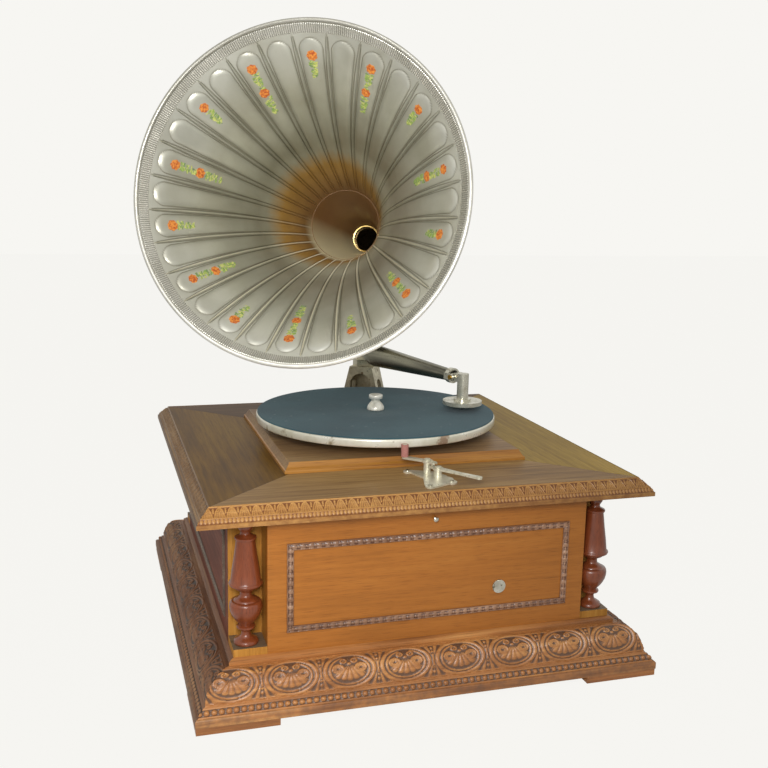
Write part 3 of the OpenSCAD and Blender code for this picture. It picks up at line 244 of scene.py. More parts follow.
def wood(name, dark, middle, light, grain="x", streak=1.0, roughness=0.42, coat=0.0,
         grime_and_shade=None, contrast=1.0, gloss=0.5, darker=0.0):
    """Varnished wood: long streaks and fine pores along the grain, broad figure across it.
    Where a grime colour is given, the carved height of each point darkens the hollows with
    old polish and painted shade, and warms the tops. darker is the share by which the case's
    right
    end is painted darker than its left: painted shade, as the lamps' light falls off."""
    material, tree, surface = finish(name, roughness, coat=coat, coat_roughness=0.22)
    surface.inputs["Specular IOR Level"].default_value = gloss
    where = object_place(tree)

    def stretched(across, along, detail, warp):
        scale = [across] * 3
        scale["xyz".index(grain)] = along
        turned = add(tree, "Mapping", Vector=where, Scale=scale)
        return noise(tree, turned.outputs[0], 1.0, detail, Distortion=warp)

    broad = stretched(26 * streak, 5 * streak, 3.0, 0.6)
    fine = stretched(300 * streak, 11 * streak, 6.0, 0.2)
    pores = stretched(1500 * streak, 55 * streak, 2.0, 0.0)
    spread = 0.16 / contrast
    figure = tones(tree, mix(tree, 0.5, broad, fine), (0.5 - spread, dark),
                   (0.5 + spread, light), (0.5, middle))
    dots = tones(tree, pores, (0.30, (0.62, 0.58, 0.55, 1)), (0.46, WHITE))
    shown = mix(tree, 0.8, figure, dots, "MULTIPLY")
    # painted shade and old polish: the hollows of the carving are darkened
    if grime_and_shade:
        height = add(tree, "Attribute", {"attribute_name": "carved"}).outputs["Fac"]
        blotch = rescaled(tree, noise(tree, where, 160.0, 4.0), 0.3, 0.7, -0.12, 0.12)
        hollow = tones(tree, joined(tree, "ADD", height, blotch), (0.12, WHITE),
                       (0.55, BLACK))
        shown = mix(tree, hollow, shown, grime_and_shade)
    # painted shade: the colour darkens towards the case's right end
    if darker:
        across = add(tree, "SeparateXYZ", Vector=where).outputs["X"]
        painted_falloff = rescaled(tree, across, -0.14, 0.20, 1.0, 1.0 - darker)
        shown = add(tree, "VectorMath", {"operation": "SCALE"}, _0=shown,
                    Scale=painted_falloff).outputs[0]
    feed(surface, "Base Color", shown)
    roughen(surface, fine, 0.06, Distance=0.0004)
    return material


def dress(material, *nodes):
    """Gives CAD pieces that stay as they are their real finish."""
    for name in nodes:
        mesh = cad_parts[name].data
        mesh.materials.clear()
        mesh.materials.append(material)


foot_wood = wood("foot_wood", "6e4426", "9b6230", "b98144", streak=0.8, coat=0.3)
dress(foot_wood, "feet")

# Base mouldings: four lengths of carved walnut, mitred at the corners and screwed to the
# case from inside. A belt of roundels runs over a row of beads; the tops of the carving are
# worn to an orange brown, and its hollows are darkened with old polish and painted shade.

HALF_W, HALF_D = 182.0, 194.0
BASE_TOP, FOOT_H = 51.0, 6.5
OUT_SIDE, OUT_FRONT, BASE_IN = 37.0, 33.0, 16.0
STEP = 0.8


def bump(d, half):
    """A smooth ridge over the distance d, half wide on each side."""
    return np.clip(1 - (d / half) ** 2, 0, None) ** 0.8


def fill(points, step):
    """Points along a polyline, none further apart than step."""
    out = []
    for a, b in zip(points, points[1:]):
        n = max(1, ceil(dist(a, b) / step))
        out += [(a[0] + (b[0] - a[0]) * i / n, a[1] + (b[1] - a[1]) * i / n)
                for i in range(n)]
    return out + [points[-1]]


def along(points):
    """Running length at each point of a polyline."""
    gaps = [dist(a, b) for a, b in zip(points, points[1:])]
    return np.concatenate([[0], np.cumsum(gaps)])


def grid_faces(cols, rows, around=True, closed=True):
    """Faces of a grid of points. Its columns go round if around, and else both ends get
    a face; each column is a ring if closed."""
    faces = [(i * rows + j, (i + 1) % cols * rows + j, (i + 1) % cols * rows
              + (j + 1) % rows, i * rows + (j + 1) % rows)
             for i in range(cols - (not around)) for j in range(rows - (not closed))]
    if not around:
        faces += [list(range(rows)), list(range((cols - 1) * rows, cols * rows))]
    return faces


def spun(points, degrees):
    """Points turned about the vertical through the case's middle."""
    c, s = cos(radians(degrees)), sin(radians(degrees))
    x, y, z = np.array(points, float).reshape(-1, 3).T
    return np.stack([x * c - y * s, x * s + y * c, z], 1)


def length_of_moulding(name, section, carve, half_w, half_d, mitre, turn, material,
                       body, slot, replaced, lift=0.0, step=STEP):
    """A mitred length whose section (out, up) is carved by what carve(x) gives, in mm
    outwards, then turned about the case's middle. mitre is the corner's run in x per
    unit of out."""
    section = np.array(section)
    ahead, behind = np.roll(section, -1, 0), np.roll(section, 1, 0)
    heading = ahead - behind
    normal = np.stack([heading[:, 1], -heading[:, 0]], 1)
    normal /= np.maximum(np.linalg.norm(normal, axis=1, keepdims=True), 1e-9)
    reach = half_w + section[:, 0].max() * mitre
    u = np.linspace(-1, 1, int(2 * reach / step) + 1)
    x = u[:, None] * (half_w + section[None, :, 0] * mitre)
    height, tone = carve(x)
    out = section[None, :, 0] + normal[None, :, 0] * height
    up = section[None, :, 1] + normal[None, :, 1] * height
    end = half_w + out * mitre
    x = np.clip(x, -end, end)
    x[0], x[-1] = -end[0], end[-1]
    points = spun(np.stack([x, -(half_d + out), up + lift], 2), turn)
    piece(name, points, grid_faces(*x.shape, around=False), material, body, replaced,
          slot, values={"carved": tone.reshape(-1)}, weld=False, sharp=50)


def sections(*parts):
    """A whole outline from parts, with each point's kind and its run along its part."""
    whole = [p for part, _ in parts for p in part]
    kinds = np.concatenate([[kind] * len(part) for part, kind in parts])
    run = np.concatenate([along(part) if kind else [0] * len(part)
                          for part, kind in parts])
    return whole, kinds, run


PLAIN, BEADS, BELT = 0, 1, 2


def base_outline(out):
    """The moulding's section, from its foot up."""
    k = out / OUT_SIDE

    def up(share):
        return FOOT_H + share * (BASE_TOP - FOOT_H)

    plain = [(-BASE_IN, FOOT_H), (out, FOOT_H), (out, up(0.14)), (out - 1.2 * k, up(0.17))]
    beads = fill([(out - 2.6 * k, up(0.17)), (out - 7.4 * k, up(0.32))], STEP)
    ledge = [(out - 9.2 * k, up(0.335))]
    belt = [(8 * k + 19.5 * k * cos(a), up(0.345 + 0.527 * sin(a)))
            for a in np.radians(np.linspace(0, 90, 42))]
    top = [(8 * k, up(0.885)), (4.4 * k, up(0.885)), (4.4 * k, up(0.95)),
           (1 * k, BASE_TOP), (-BASE_IN, BASE_TOP)]
    return sections((plain, PLAIN), (beads, BEADS), (ledge, PLAIN), (belt, BELT),
                    (top, PLAIN))


ROUNDEL_PITCH = 52.2
ROUNDEL_W, ROUNDEL_H = 24.6, 16.8
BEAD_PITCH = 6.3


def belt_carving(first_roundel, kinds, run):
    """Height and tone of the carving at each x of the section's points."""
    belt_length = run[kinds == BELT].max()
    bead_length = run[kinds == BEADS].max()

    def carve(x):
        height = np.zeros_like(x)
        tone = np.full_like(x, 0.75)
        tone[:, :np.argmax(kinds == BEADS)] = 0.4  # plain band under the beads
        # the row of beads
        j = kinds == BEADS
        dx = (x[:, j] - first_roundel) % BEAD_PITCH - BEAD_PITCH / 2
        dy = run[j][None, :] - bead_length / 2
        r = np.hypot(dx, dy)
        ball = np.sqrt(np.clip(1 - (r / (BEAD_PITCH * 0.38)) ** 2, 0, 1))
        rails = np.maximum(bump(dy - bead_length * 0.45, 0.6),
                           bump(dy + bead_length * 0.45, 0.6))
        height[:, j] = 1.9 * ball + 0.9 * rails - 0.5
        tone[:, j] = 0.05 + 0.9 * np.maximum(ball, rails)
        # the belt of roundels
        j = kinds == BELT
        which = np.floor((x[:, j] - first_roundel) / ROUNDEL_PITCH + 0.5)
        dx = x[:, j] - first_roundel - which * ROUNDEL_PITCH
        dy = run[j][None, :] + np.zeros_like(dx) - belt_length * 0.5
        px, py = dx / ROUNDEL_W, dy / ROUNDEL_H
        rho = np.hypot(px, py)
        high = 1.25 * bump(rho - 0.91, 0.085)
        # inner ring, open at the top, where its ends curl inwards
        opening = np.clip((np.abs(px) - 0.16) * 12, 0, 1) + (py < 0.3)
        high += 0.9 * bump(rho - 0.73, 0.055) * np.clip(opening, 0, 1)
        curl = np.hypot(np.abs(px) - 0.20, (py - 0.50) * 0.9)
        high = np.maximum.reduce([high, 0.95 * bump(curl - 0.10, 0.045),
                                  bump(curl, 0.04)])
        inside = rho < 0.66
        # fan of narrow ribs that spreads down from the roundel's eye
        fx, fy = px, 0.34 - py
        turn = np.arctan2(fx, np.maximum(fy, 1e-3))
        far = np.hypot(fx, fy)
        ribs = (0.5 + 0.5 * np.cos(turn * 21)) ** 0.7
        fan = (0.25 + 0.75 * ribs) * np.clip(far * 4 - 0.3, 0, 1) \
            * (np.abs(turn) < 0.82) * np.clip((0.92 - far) * 8, 0, 1)
        high += inside * 1.15 * fan
        # ribbed scrolls on both sides of the fan, and its eye
        lobe = np.hypot((np.abs(px) - 0.42) * 1.1, py - 0.10)
        around = np.arctan2(py - 0.10, np.abs(px) - 0.42)
        shell = (0.45 + 0.55 * np.cos(around * 9) ** 2) * (lobe < 0.2) * (lobe > 0.06)
        eye = np.hypot(px, py - 0.34)
        high = np.maximum.reduce([high, inside * 0.85 * shell,
                                  inside * 1.1 * bump(lobe - 0.22, 0.035),
                                  inside * 1.2 * bump(eye, 0.085)])
        # between two roundels: ribbed leaves that spread from a stalk with three dots
        sx = ROUNDEL_PITCH / 2 - np.abs(dx)
        between = rho > 1.0
        spread = np.arctan2(np.abs(dy), np.maximum(sx, 1e-3))
        far = np.hypot(sx, dy)
        leaf = (0.5 + 0.5 * np.cos(spread * 15)) * np.clip(far / 5 - 0.5, 0, 1)
        dots = [1.15 * bump(np.hypot(sx - at_x, dy - at_y), size) for at_x, at_y, size in
                ((0, 11.5, 1.5), (3.6, 13.8, 1.1), (0, 7.4, 1.2), (0, -10.5, 1.5),
                 (0, -6.6, 1.1))]
        stalk = 0.9 * bump(sx, 1.0) * (np.abs(dy) < 5)
        # rails that close the belt above and below
        rails = [0.9 * bump(dy + side * belt_length * 0.475, 1.1) for side in (-1, 1)]
        high = np.maximum.reduce([high, between * np.maximum.reduce(
            [0.85 * leaf, stalk] + dots)] + rails)
        rough = 0.12 * np.sin(dx * 1.9 + dy * 2.7) * np.sin(dx * 2.9 - dy * 1.7)
        height[:, j] = high - 0.65 + rough * (high < 0.3)
        tone[:, j] = np.clip(high * 0.85, 0, 1)
        return height, tone

    return carve


base_wood = wood("base_wood", "8c582e", "b87a42", "da9e5c", streak=0.9, grime_and_shade="664834",
                 roughness=0.45, coat=0.15, darker=0.28)
# the side mouldings are painted darker than the front ones: partly darker wood, partly
# painted shade
base_side_wood = wood("base_side_wood", "5e3c26", "80583c", "9e7a58", grain="y", streak=0.9,
                      grime_and_shade="43342a", roughness=0.5, coat=0.05, gloss=0.3)
FRONT_FIRST = -186.7  # where the front's first roundel stands
SIDES = (("front", 0, False), ("right", 90, True), ("back", 180, False),
         ("left", -90, True))
for name, turn, along_side in SIDES:
    if along_side:
        halves, out, other, first, look = (HALF_D, HALF_W), OUT_SIDE, OUT_FRONT, 0.0, \
            base_side_wood
    else:
        halves, out, other, first, look = (HALF_W, HALF_D), OUT_FRONT, OUT_SIDE, \
            FRONT_FIRST, base_wood
    outline, kinds, run = base_outline(out)
    length_of_moulding("carved_base_" + name, outline, belt_carving(first, kinds, run),
                       *halves, other / out, turn, look, "case", "base_wood",
                       ("base_moulding_" + name,))

# Case walls: four veneered panels glued between the corner posts, on a softwood bottom.
# The front is golden oak brown, painted darker towards its right end as painted shade; the
# sides are painted darker still, partly darker wood and partly painted shade.

front_wood = wood("front_wood", "9e6020", "b46f28", "c07c32", coat=0.1, gloss=0.3,
                  contrast=0.7, darker=0.34)
# painted shade: the side panels are darker than the front, in part for the light at their
# grazing angle
side_wood = wood("side_wood", "5c3222", "724030", "86503c", grain="y", roughness=0.5,
                 gloss=0.08)
back_wood = wood("back_wood", "6e4526", "8e5f38", "a87848", coat=0.3)
inner_wood = wood("inner_wood", "94714a", "b38f62", "c9a878", streak=0.7, roughness=0.7)
# golden wood, painted lighter still as painted light in the shaded corner recesses
post_wood = wood("post_wood", "ac7430", "c48a3e", "d49e50", grain="z", streak=1.1,
                 gloss=0.1, darker=0.4)
plinth_top_wood = wood("plinth_top_wood", "5c4c3a", "6e5c48", "806c56", gloss=0.2)
dress(front_wood, "front_panel")
dress(side_wood, "left_panel", "right_panel")
dress(back_wood, "back_panel")
dress(inner_wood, "bottom_board")
dress(post_wood, "corner_posts", "plinth_blocks")


def also(mesh, material, chosen):
    """Gives the faces of a mesh that are chosen another finish."""
    mesh.materials.append(material)
    for face in mesh.polygons:
        if chosen(face):
            face.material_index = 1


for name in ("left_panel", "right_panel"):
    also(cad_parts[name].data, post_wood, lambda face: abs(face.normal.y) > 0.9)
also(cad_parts["plinth_blocks"].data, plinth_top_wood,
     lambda face: face.normal.z > 0.9)

# Columns: four turned pillars of stained birch, each an urn, rings and a taper, glued
# into the corner recesses between the plinth block and the top.

COLUMN = [  # height above the table, radius
    (58.0, 0.0), (58.0, 10.2), (58.6, 10.9), (60.0, 11.0), (61.3, 10.6), (62.0, 9.6),
    (62.8, 8.4), (63.7, 6.6), (65.0, 5.0), (66.8, 4.2), (68.9, 4.0), (70.7, 4.6),
    (72.0, 6.0), (72.5, 8.0), (73.5, 8.4), (74.4, 8.2), (74.9, 7.2), (75.3, 6.0),
    (76.2, 6.2), (77.9, 7.6), (80.4, 9.8), (83.8, 12.0), (87.4, 13.6), (91.1, 14.5),
    (93.9, 14.6), (96.1, 14.2), (97.6, 13.2), (97.9, 12.2), (98.1, 10.8), (98.8, 10.5),
    (99.8, 9.4), (100.7, 7.6), (101.8, 6.0), (103.1, 5.2), (105.5, 5.1), (107.1, 5.6),
    (108.0, 6.4), (108.6, 8.0), (109.5, 10.0), (110.4, 10.8), (111.0, 11.0), (111.4, 12.2),
    (112.6, 14.4), (113.9, 15.0), (114.7, 14.8), (115.2, 14.0), (116.5, 13.3),
    (126.1, 12.2), (139.0, 10.2), (148.2, 9.0), (153.2, 8.3), (153.7, 8.2), (154.0, 9.2),
    (155.0, 9.7), (156.1, 9.5), (156.6, 8.6), (157.5, 6.6), (158.6, 5.0), (160.1, 4.4),
    (161.6, 4.8), (163.2, 5.8), (164.5, 6.6), (165.3, 6.8), (168.0, 6.4), (171.0, 6.2),
    (174.6, 6.4), (174.6, 0.0)]
COLUMN_X, COLUMN_Y = 168.8, 180.8


def turned(profile, at, segments=64):
    """Points and faces of a piece turned on the lathe about the vertical at (x, y).
    profile is a list of (height, radius)."""
    points = [(at[0] + r * cos(2 * pi * i / segments),
               at[1] + r * sin(2 * pi * i / segments), z)
              for i in range(segments) for z, r in profile]
    return points, grid_faces(segments, len(profile), closed=False)


def several(parts):
    """One set of points and faces from many."""
    points, faces = [], []
    for some_points, some_faces in parts:
        first = len(points)
        points += [tuple(p) for p in some_points]
        faces += [[first + i for i in f] for f in some_faces]
    return points, faces


column_wood = wood("column_wood", "643018", "823f20", "9c5430", grain="z", streak=0.8,
                   roughness=0.3, coat=0.6, gloss=0.3, contrast=0.6, darker=0.3)
columns = [turned(COLUMN, (i * COLUMN_X, j * COLUMN_Y)) for i in (-1, 1) for j in (-1, 1)]
piece("turned_columns", *several(columns), column_wood, "case", ("columns",),
      "column_wood", sharp=45)

# Bead frames: thin carved strips pinned round the front panel and the side panels, with a
# chain of small leaves and pearls on a slope that rises outwards.

BEAD_W = 6.0
BEAD_LOW, BEAD_HIGH = 69.0, 151.0
CHAIN_PITCH = 7.4


def chain_height(s, w):
    """Height of the carved chain at s along the strip and w across it (0 to 1)."""
    leaf_at = (s % CHAIN_PITCH) / CHAIN_PITCH - 0.5
    leaf = bump(np.hypot(leaf_at * 2.5, (w - 0.52) * 2.6), 1.0)
    pearl = bump(np.hypot((np.abs(leaf_at) - 0.5) * 6.0, (w - 0.5) * 4.2), 1.0)
    edges = bump(w - 0.07, 0.09) + bump(w - 0.93, 0.09)
    return np.maximum.reduce([0.95 * leaf, 0.8 * pearl, 0.75 * edges])


def bead_frame(half_length, face, turn):
    """The four mitred strips of one frame, standing out from the wall at depth face."""
    parts, tones = [], []
    mid_z, half_z = (BEAD_LOW + BEAD_HIGH) / 2, (BEAD_HIGH - BEAD_LOW) / 2
    across = np.linspace(0, 1, 10)
    for side in range(4):
        flat = side % 2 == 0
        reach = half_length if flat else half_z
        other = half_z if flat else half_length
        u = np.linspace(-1, 1, int(2 * reach / 0.7) + 1)[:, None]
        inward = across[None, :] * BEAD_W
        s = u * (reach - inward)
        height = chain_height(s + 1000, np.broadcast_to(across[None, :], s.shape))
        lift = 0.9 + 1.4 * height
        lift[:, 0] = lift[:, -1] = 1.2
        a, b = s, -(other - inward) + 0 * s
        for _ in range(side):
            a, b = -b, a
        front = np.stack([a, -(face + lift), b + mid_z], 2)
        back = np.stack([a[:, [-1, 0]], 0 * a[:, :2] - face, b[:, [-1, 0]] + mid_z], 2)
        ring = np.concatenate([front, back], 1)
        parts.append((spun(ring, turn), grid_faces(*ring.shape[:2], around=False)))
        tones.append(np.concatenate([height, 0.4 + 0 * height[:, :2]], 1).reshape(-1))
    points, faces = several(parts)
    return points, faces, np.concatenate(tones)


bead_wood = wood("bead_wood", "6c4832", "8c664c", "b48e72", streak=1.2, grime_and_shade="5e4032",
                 roughness=0.4, coat=0.3)
# the side frames are painted darker than the front one: partly darker wood, partly painted
# shade
side_bead_wood = wood("side_bead_wood", "4c3a30", "66523f", "84705c", grain="y", streak=1.2,
                      grime_and_shade="3e2e26", roughness=0.5, coat=0.1)
FRONT_FRAME, SIDE_FRAME = 135, 147  # half lengths
points, faces, tone = bead_frame(FRONT_FRAME, HALF_D, 0)
piece("front_bead_frame", points, faces, bead_wood, "case", ("front_beading",),
      "bead_wood", values={"carved": tone}, weld=False, sharp=60)
left, right = (bead_frame(SIDE_FRAME, HALF_W, turn) for turn in (-90, 90))
points, faces = several([left[:2], right[:2]])
piece("side_bead_frames", points, faces, side_bead_wood, "case", ("side_beadings",),
      "bead_wood", values={"carved": np.concatenate([left[2], right[2]])},
      weld=False, sharp=60)

# Hinges, catch and crank hole: brass butt hinges with steel pins at the back, a nickel
# push button for the lid's catch, and the small round cover over the crank's hole.


def metal(name, dark, light, roughness=0.3, metallic=1.0, scale=60.0, stain=None,
          stain_amount=0.2, grime_and_shade=None, drawn=None):
    """Old plated or bare metal: cloudy tone, fine scratches in the gloss, and stains.
    Where a grime colour is given, points with a low 'carved' value take it; on the horn's
    rim these values are painted light, and the colour painted shade. drawn is the heading in
    degrees that the marks of a drawn tube run in."""
    material, tree, surface = finish(name, roughness, metallic)
    where = object_place(tree)
    if drawn is not None:
        where = add(tree, "Mapping", {"vector_type": "TEXTURE"}, Vector=where,
                    Rotation=(0, 0, radians(drawn)), Scale=(12, 1, 1)).outputs[0]
    cloud = noise(tree, where, scale, 6.0, Roughness=0.62)
    shown = tones(tree, cloud, (0.36, dark), (0.62, light))
    if stain:
        spots = noise(tree, where, scale * 3.3, 5.0, Distortion=0.4)
        low = 0.66 - 0.2 * stain_amount
        shown = mix(tree, tones(tree, spots, (low, BLACK), (low + 0.08, WHITE)), shown,
                    stain)
    # painted shade: where the 'carved' value is low, the grime colour is mixed in
    if grime_and_shade:
        height = add(tree, "Attribute", {"attribute_name": "carved"}).outputs["Fac"]
        shown = mix(tree, height, grime_and_shade, shown)
    feed(surface, "Base Color", shown)
    feed(surface, "Roughness", rescaled(tree, cloud, 0.3, 0.7, min(1, roughness + 0.12),
                                        max(0.05, roughness - 0.08)))
    roughen(surface, noise(tree, where, scale * 30, 3.0), 0.02, Distance=0.001)
    return material


brass = metal("old_brass", "8a6a2c", "c09a4a", roughness=0.34, stain="5a4420",
              stain_amount=0.3)
nickel = metal("worn_nickel", "a8a494", "d8d6ca", roughness=0.28, stain="77705c",
               stain_amount=0.25)
steel = metal("plain_steel", "6c6d6e", "9a9b9c", roughness=0.4, stain="57493c")
dress(brass, "hinge_case_leaves", "hinge_lid_leaves")
dress(nickel, "catch_button", "crank_hole_cover", "crank_cover_screw")
dress(steel, "catch_spring")

# Lid: a board veneered in four mitred fields, framed by a carved cornice, and hinged at
# the back. Everything that plays the record stands on it.

LID_LOW, LID_TOP = 175.0, 191.0
LID_X, LID_Y = 214.0, 211.5
CORNICE_W, FILLET = 12.0, 3.8
BOARD_X, BOARD_Y = LID_X - CORNICE_W, LID_Y - CORNICE_W

lid_board_wood = wood("lid_board_wood", "3a2a1c", "4a3422", "5a4028", streak=0.8,
                      roughness=0.5)
dress(lid_board_wood, "lid_board")

VENEER_IN, VENEER_GAP = 118.0, 0.35
VENEERS = (("front", "x", "795c3c", "9a784c", "b08e5c"),
           ("right", "y", "8a6a28", "a28232", "b89640"),
           ("back", "x", "4a3016", "5c4020", "705030"),
           ("left", "y", "563a10", "725014", "86641c"))
for turn, (name, grain, dark, middle, light) in enumerate(VENEERS):
    near, far = (BOARD_Y, BOARD_X) if turn % 2 == 0 else (BOARD_X, BOARD_Y)
    sheet = [(-far + VENEER_GAP, -near), (far - VENEER_GAP, -near),
             (VENEER_IN - VENEER_GAP, -VENEER_IN), (-VENEER_IN + VENEER_GAP, -VENEER_IN)]
    points = spun([(x, y, z) for z in (LID_TOP - 0.2, LID_TOP + 0.05) for x, y in sheet],
                  90 * turn)
    veneer = wood("veneer_" + name, dark, middle, light, grain=grain, streak=0.8,
                  gloss=0.08)
    piece("lid_veneer_" + name, points, grid_faces(2, 4, around=False), veneer, "lid")


CARVED = 1


def cornice_outline():
    """The cornice's section: a plain fillet, then the carved slope above it."""
    plain = [(-CORNICE_W, 0), (0, 0), (0, FILLET)]
    carved = [(-0.8, FILLET + 0.4)] + fill(
        [(-1.2, FILLET + 1.4), (-2.4, FILLET + 3.0), (-2.9, FILLET + 4.2),
         (-5.6, FILLET + 6.4), (-8.6, FILLET + 9.6), (-CORNICE_W, 16.3)], 0.7)
    return sections((plain, PLAIN), (carved, CARVED))


LEAF_PITCH, DENT_PITCH = 10.4, 3.4


def cornice_carving(kinds, run):
    """Height and tone of the cornice's carving at each x of the section's points."""
    length = run.max()

    def carve(x):
        height, tone = np.zeros_like(x), np.full_like(x, 0.36)
        j = kinds == CARVED
        q = run[j][None, :] / length + np.zeros_like(x[:, j])
        s = x[:, j] + 1000
        # lower row of tall beads, then double-edged tongues with darts between them
        bead = (s % DENT_PITCH) / DENT_PITCH - 0.5
        low = bump(np.hypot(bead * 2.3, (q - 0.15) * 8.5), 1.0)
        v = np.clip((q - 0.32) / 0.58, 0, 1)
        leaf_x = np.abs((s % LEAF_PITCH) / LEAF_PITCH - 0.5)
        wide = 0.44 * (1 - v) ** 0.5
        border = bump(leaf_x - wide, 0.06)
        inner = 0.75 * bump(leaf_x - 0.24 * np.clip(1 - v / 0.75, 0, 1) ** 0.5, 0.045)
        rib = 0.85 * bump(leaf_x, 0.045) * (v < 0.6)
        body = 0.22 * (leaf_x < wide)
        dart = 0.8 * bump(leaf_x - 0.5, 0.07) * (v > 0.4) * (v < 0.95)
        leaf = np.maximum.reduce([border, inner, rib, body, dart]) \
            * (v > 0.02) * (v < 0.98)
        top = 0.8 * bump(q - 0.95, 0.035)
        rail = 0.8 * bump(q - 0.29, 0.03)
        high = np.maximum.reduce([0.9 * low, 0.9 * leaf, top, rail])
        high *= (q > 0.02) & (q < 0.985)
        height[:, j] = 0.8 * high - 0.45 * ((q > 0.02) & (q < 0.985))
        tone[:, j] = np.clip(0.1 + high, 0, 1)
        return height, tone

    return carve


cornice_wood = wood("cornice_wood", "a8743c", "c48e4c", "dcaa68", grime_and_shade="7c4a22",
                    roughness=0.45, coat=0.1, gloss=0.35, contrast=0.7, darker=0.42)
# the side cornice is painted darker than the front: partly darker wood, partly painted shade
cornice_wood_y = wood("cornice_wood_sides", "6e5238", "8a6c4c", "a88a66", grain="y",
                      grime_and_shade="574029", roughness=0.5, coat=0.1, gloss=0.3)
outline, kinds, run = cornice_outline()
for name, turn, along_side in SIDES:
    halves = (LID_Y, LID_X) if along_side else (LID_X, LID_Y)
    length_of_moulding("carved_cornice_" + name, outline, cornice_carving(kinds, run),
                       *halves, 1.0, turn,
                       cornice_wood_y if along_side else cornice_wood, "lid",
                       "cornice_wood", ("cornice_" + name,), lift=LID_LOW, step=0.7)

# Raised board under the turntable: one square board with a moulded edge, screwed to the
# lid from below, of a lighter wood than the veneer round it.

RAISED, RAISED_Y = 122.0, 4.0
EDGE = [(0, 0), (0, 2.6), (0.2, 3.0), (0.8, 3.4), (1.2, 3.6), (1.3, 4.0), (1.9, 4.4),
        (3.0, 6.2), (4.1, 8.0), (4.7, 9.2), (4.9, 9.7), (5.3, 9.95), (6.4, 10.0)]


def square_board(half, middle_y, low, edge, hole):
    """A square board whose four edges have the moulded outline (inset, up)."""
    points = [(x * (half - inset), y * (half - inset) + middle_y, low + up)
              for inset, up in edge for x, y in ((-1, -1), (1, -1), (1, 1), (-1, 1))]
    faces = grid_faces(len(edge), 4, around=False)[:-2]
    # the middle hole, as a ring of points joined to the top and to the underside
    n = 32
    top, under = len(points), len(points) + n
    for z in (low + edge[-1][1], low):
        points += [(hole * cos(2 * pi * i / n),
                    hole * sin(2 * pi * i / n), z) for i in range(n)]
    faces += [(top + i, top + (i + 1) % n, under + (i + 1) % n, under + i)
              for i in range(n)]
    last = 4 * (len(edge) - 1)
    for base, ring in ((last, top), (0, under)):
        for side in range(4):
            # side 0 faces -y: its share of the ring runs from 225 to 315 degrees
            start = (side * n // 4 + 5 * n // 8) % n
            arc = [ring + (start + i) % n for i in range(n // 4 + 1)]
            faces.append([base + side, base + (side + 1) % 4] + arc[::-1])
    return points, faces


board_wood = wood("board_wood", "9c6424", "b67c2e", "ca9042", streak=0.9, roughness=0.4,
                  coat=0.15, darker=0.25)
board_top_wood = wood("board_top_wood", "84664a", "9c7c56", "b09064", streak=0.9, gloss=0.1)
points, faces = square_board(RAISED, RAISED_Y, LID_TOP, EDGE, 9.0)
raised_board = piece("raised_board", points, faces, board_wood, "lid",
                     ("turntable_board",), "board_wood", sharp=30)


def top_or_left_edge(face):
    """Whether a face of the board is its flat top, or the upper part of its left edge, which
    is painted with the top's darker wood as painted shade.
    """
    level = face.center.z * 1000 - LID_TOP
    return face.normal.z > 0.9 and level > 9 or face.normal.x < -0.3 and level > 3.8


# painted shade: the board's left edge takes the top's darker wood
also(raised_board.data, board_top_wood, top_or_left_edge)

# Motor: brass and steel clockwork between two plates on pillars, hung under the lid by
# four long bolts. Plates are sheet steel; wheels and the barrel are cut brass.

plate_steel = metal("plate_steel", "7c7f80", "a4a6a6", roughness=0.42, stain="6a5a48")
wheel_brass = metal("wheel_brass", "967434", "c8a450", scale=90)
spring_steel = metal("spring_steel", "3a3e44", "5c6068")
dress(plate_steel, "motor_top_plate", "motor_bottom_plate")
dress(brass, "motor_pillars", "governor_balls", "barrel_cover")
dress(wheel_brass, "spindle_gears", "intermediate_arbor", "spring_barrel")
dress(spring_steel, "mainspring")
dress(steel, "motor_bolts", "spring_arbor", "winding_shaft", "governor_spindle",
      "spindle")

# Turntable: a pressed steel plate with a nickelled edge, dulled and flecked with rust
# where fingers turn it, under a disc of dark green-blue felt glued to its top.

SPINDLE_R = 3.65
PLATTER = [  # height above the table, radius
    (220.8, SPINDLE_R), (220.8, 125.0), (220.7, 125.8), (220.3, 126.5), (219.6, 126.9),
    (219.0, 127.0), (214.0, 127.0), (213.2, 126.8), (212.6, 126.2), (212.4, 125.6),
    (212.4, 124.6), (218.4, 124.6), (218.8, 124.2), (218.8, 14.0), (208.4, 14.0),
    (208.4, SPINDLE_R)]
FELT_DISC = [(220.8, SPINDLE_R), (220.8, 126.0), (221.5, 126.0), (221.9, 125.6),
             (222.0, 124.8), (222.0, 90.0), (222.0, 40.0), (222.0, SPINDLE_R + 0.6),
             (221.6, SPINDLE_R)]


def on_spindle(name, outline, material, body, replaced, slot, segments, sharp):
    """A piece turned about the spindle, from its closed outline."""
    points, faces = turned(outline + outline[:1], (0, 0), segments)
    piece(name, points, faces, material, body, (replaced,), slot, sharp)


rim_nickel = metal("rim_nickel", "dad6c0", "f8f5e8", scale=22, stain="9c8c68",
                   stain_amount=0.12, metallic=0.35)
tree = rim_nickel.node_tree
surface = tree.nodes["Principled BSDF"]
plain = surface.inputs["Base Color"].links[0].from_socket
where = object_place(tree)
RUST_AT = (0.050, -0.1225, 0.2165)
from_rust = add(tree, "VectorMath", {"operation": "DISTANCE"}, _0=where, _1=RUST_AT)
uneven = rescaled(tree, noise(tree, where, 260.0, 4.0), 0.3, 0.7, -0.003, 0.003)
rust = rescaled(tree, joined(tree, "ADD", from_rust.outputs["Value"], uneven), 0.0045,
                0.0075, 0.75, 0.0)
feed(surface, "Base Color", mix(tree, rust, plain, "8c6244"))
on_spindle("pressed_turntable", PLATTER, rim_nickel, "turntable", "platter", "nickel",
           180, 40)

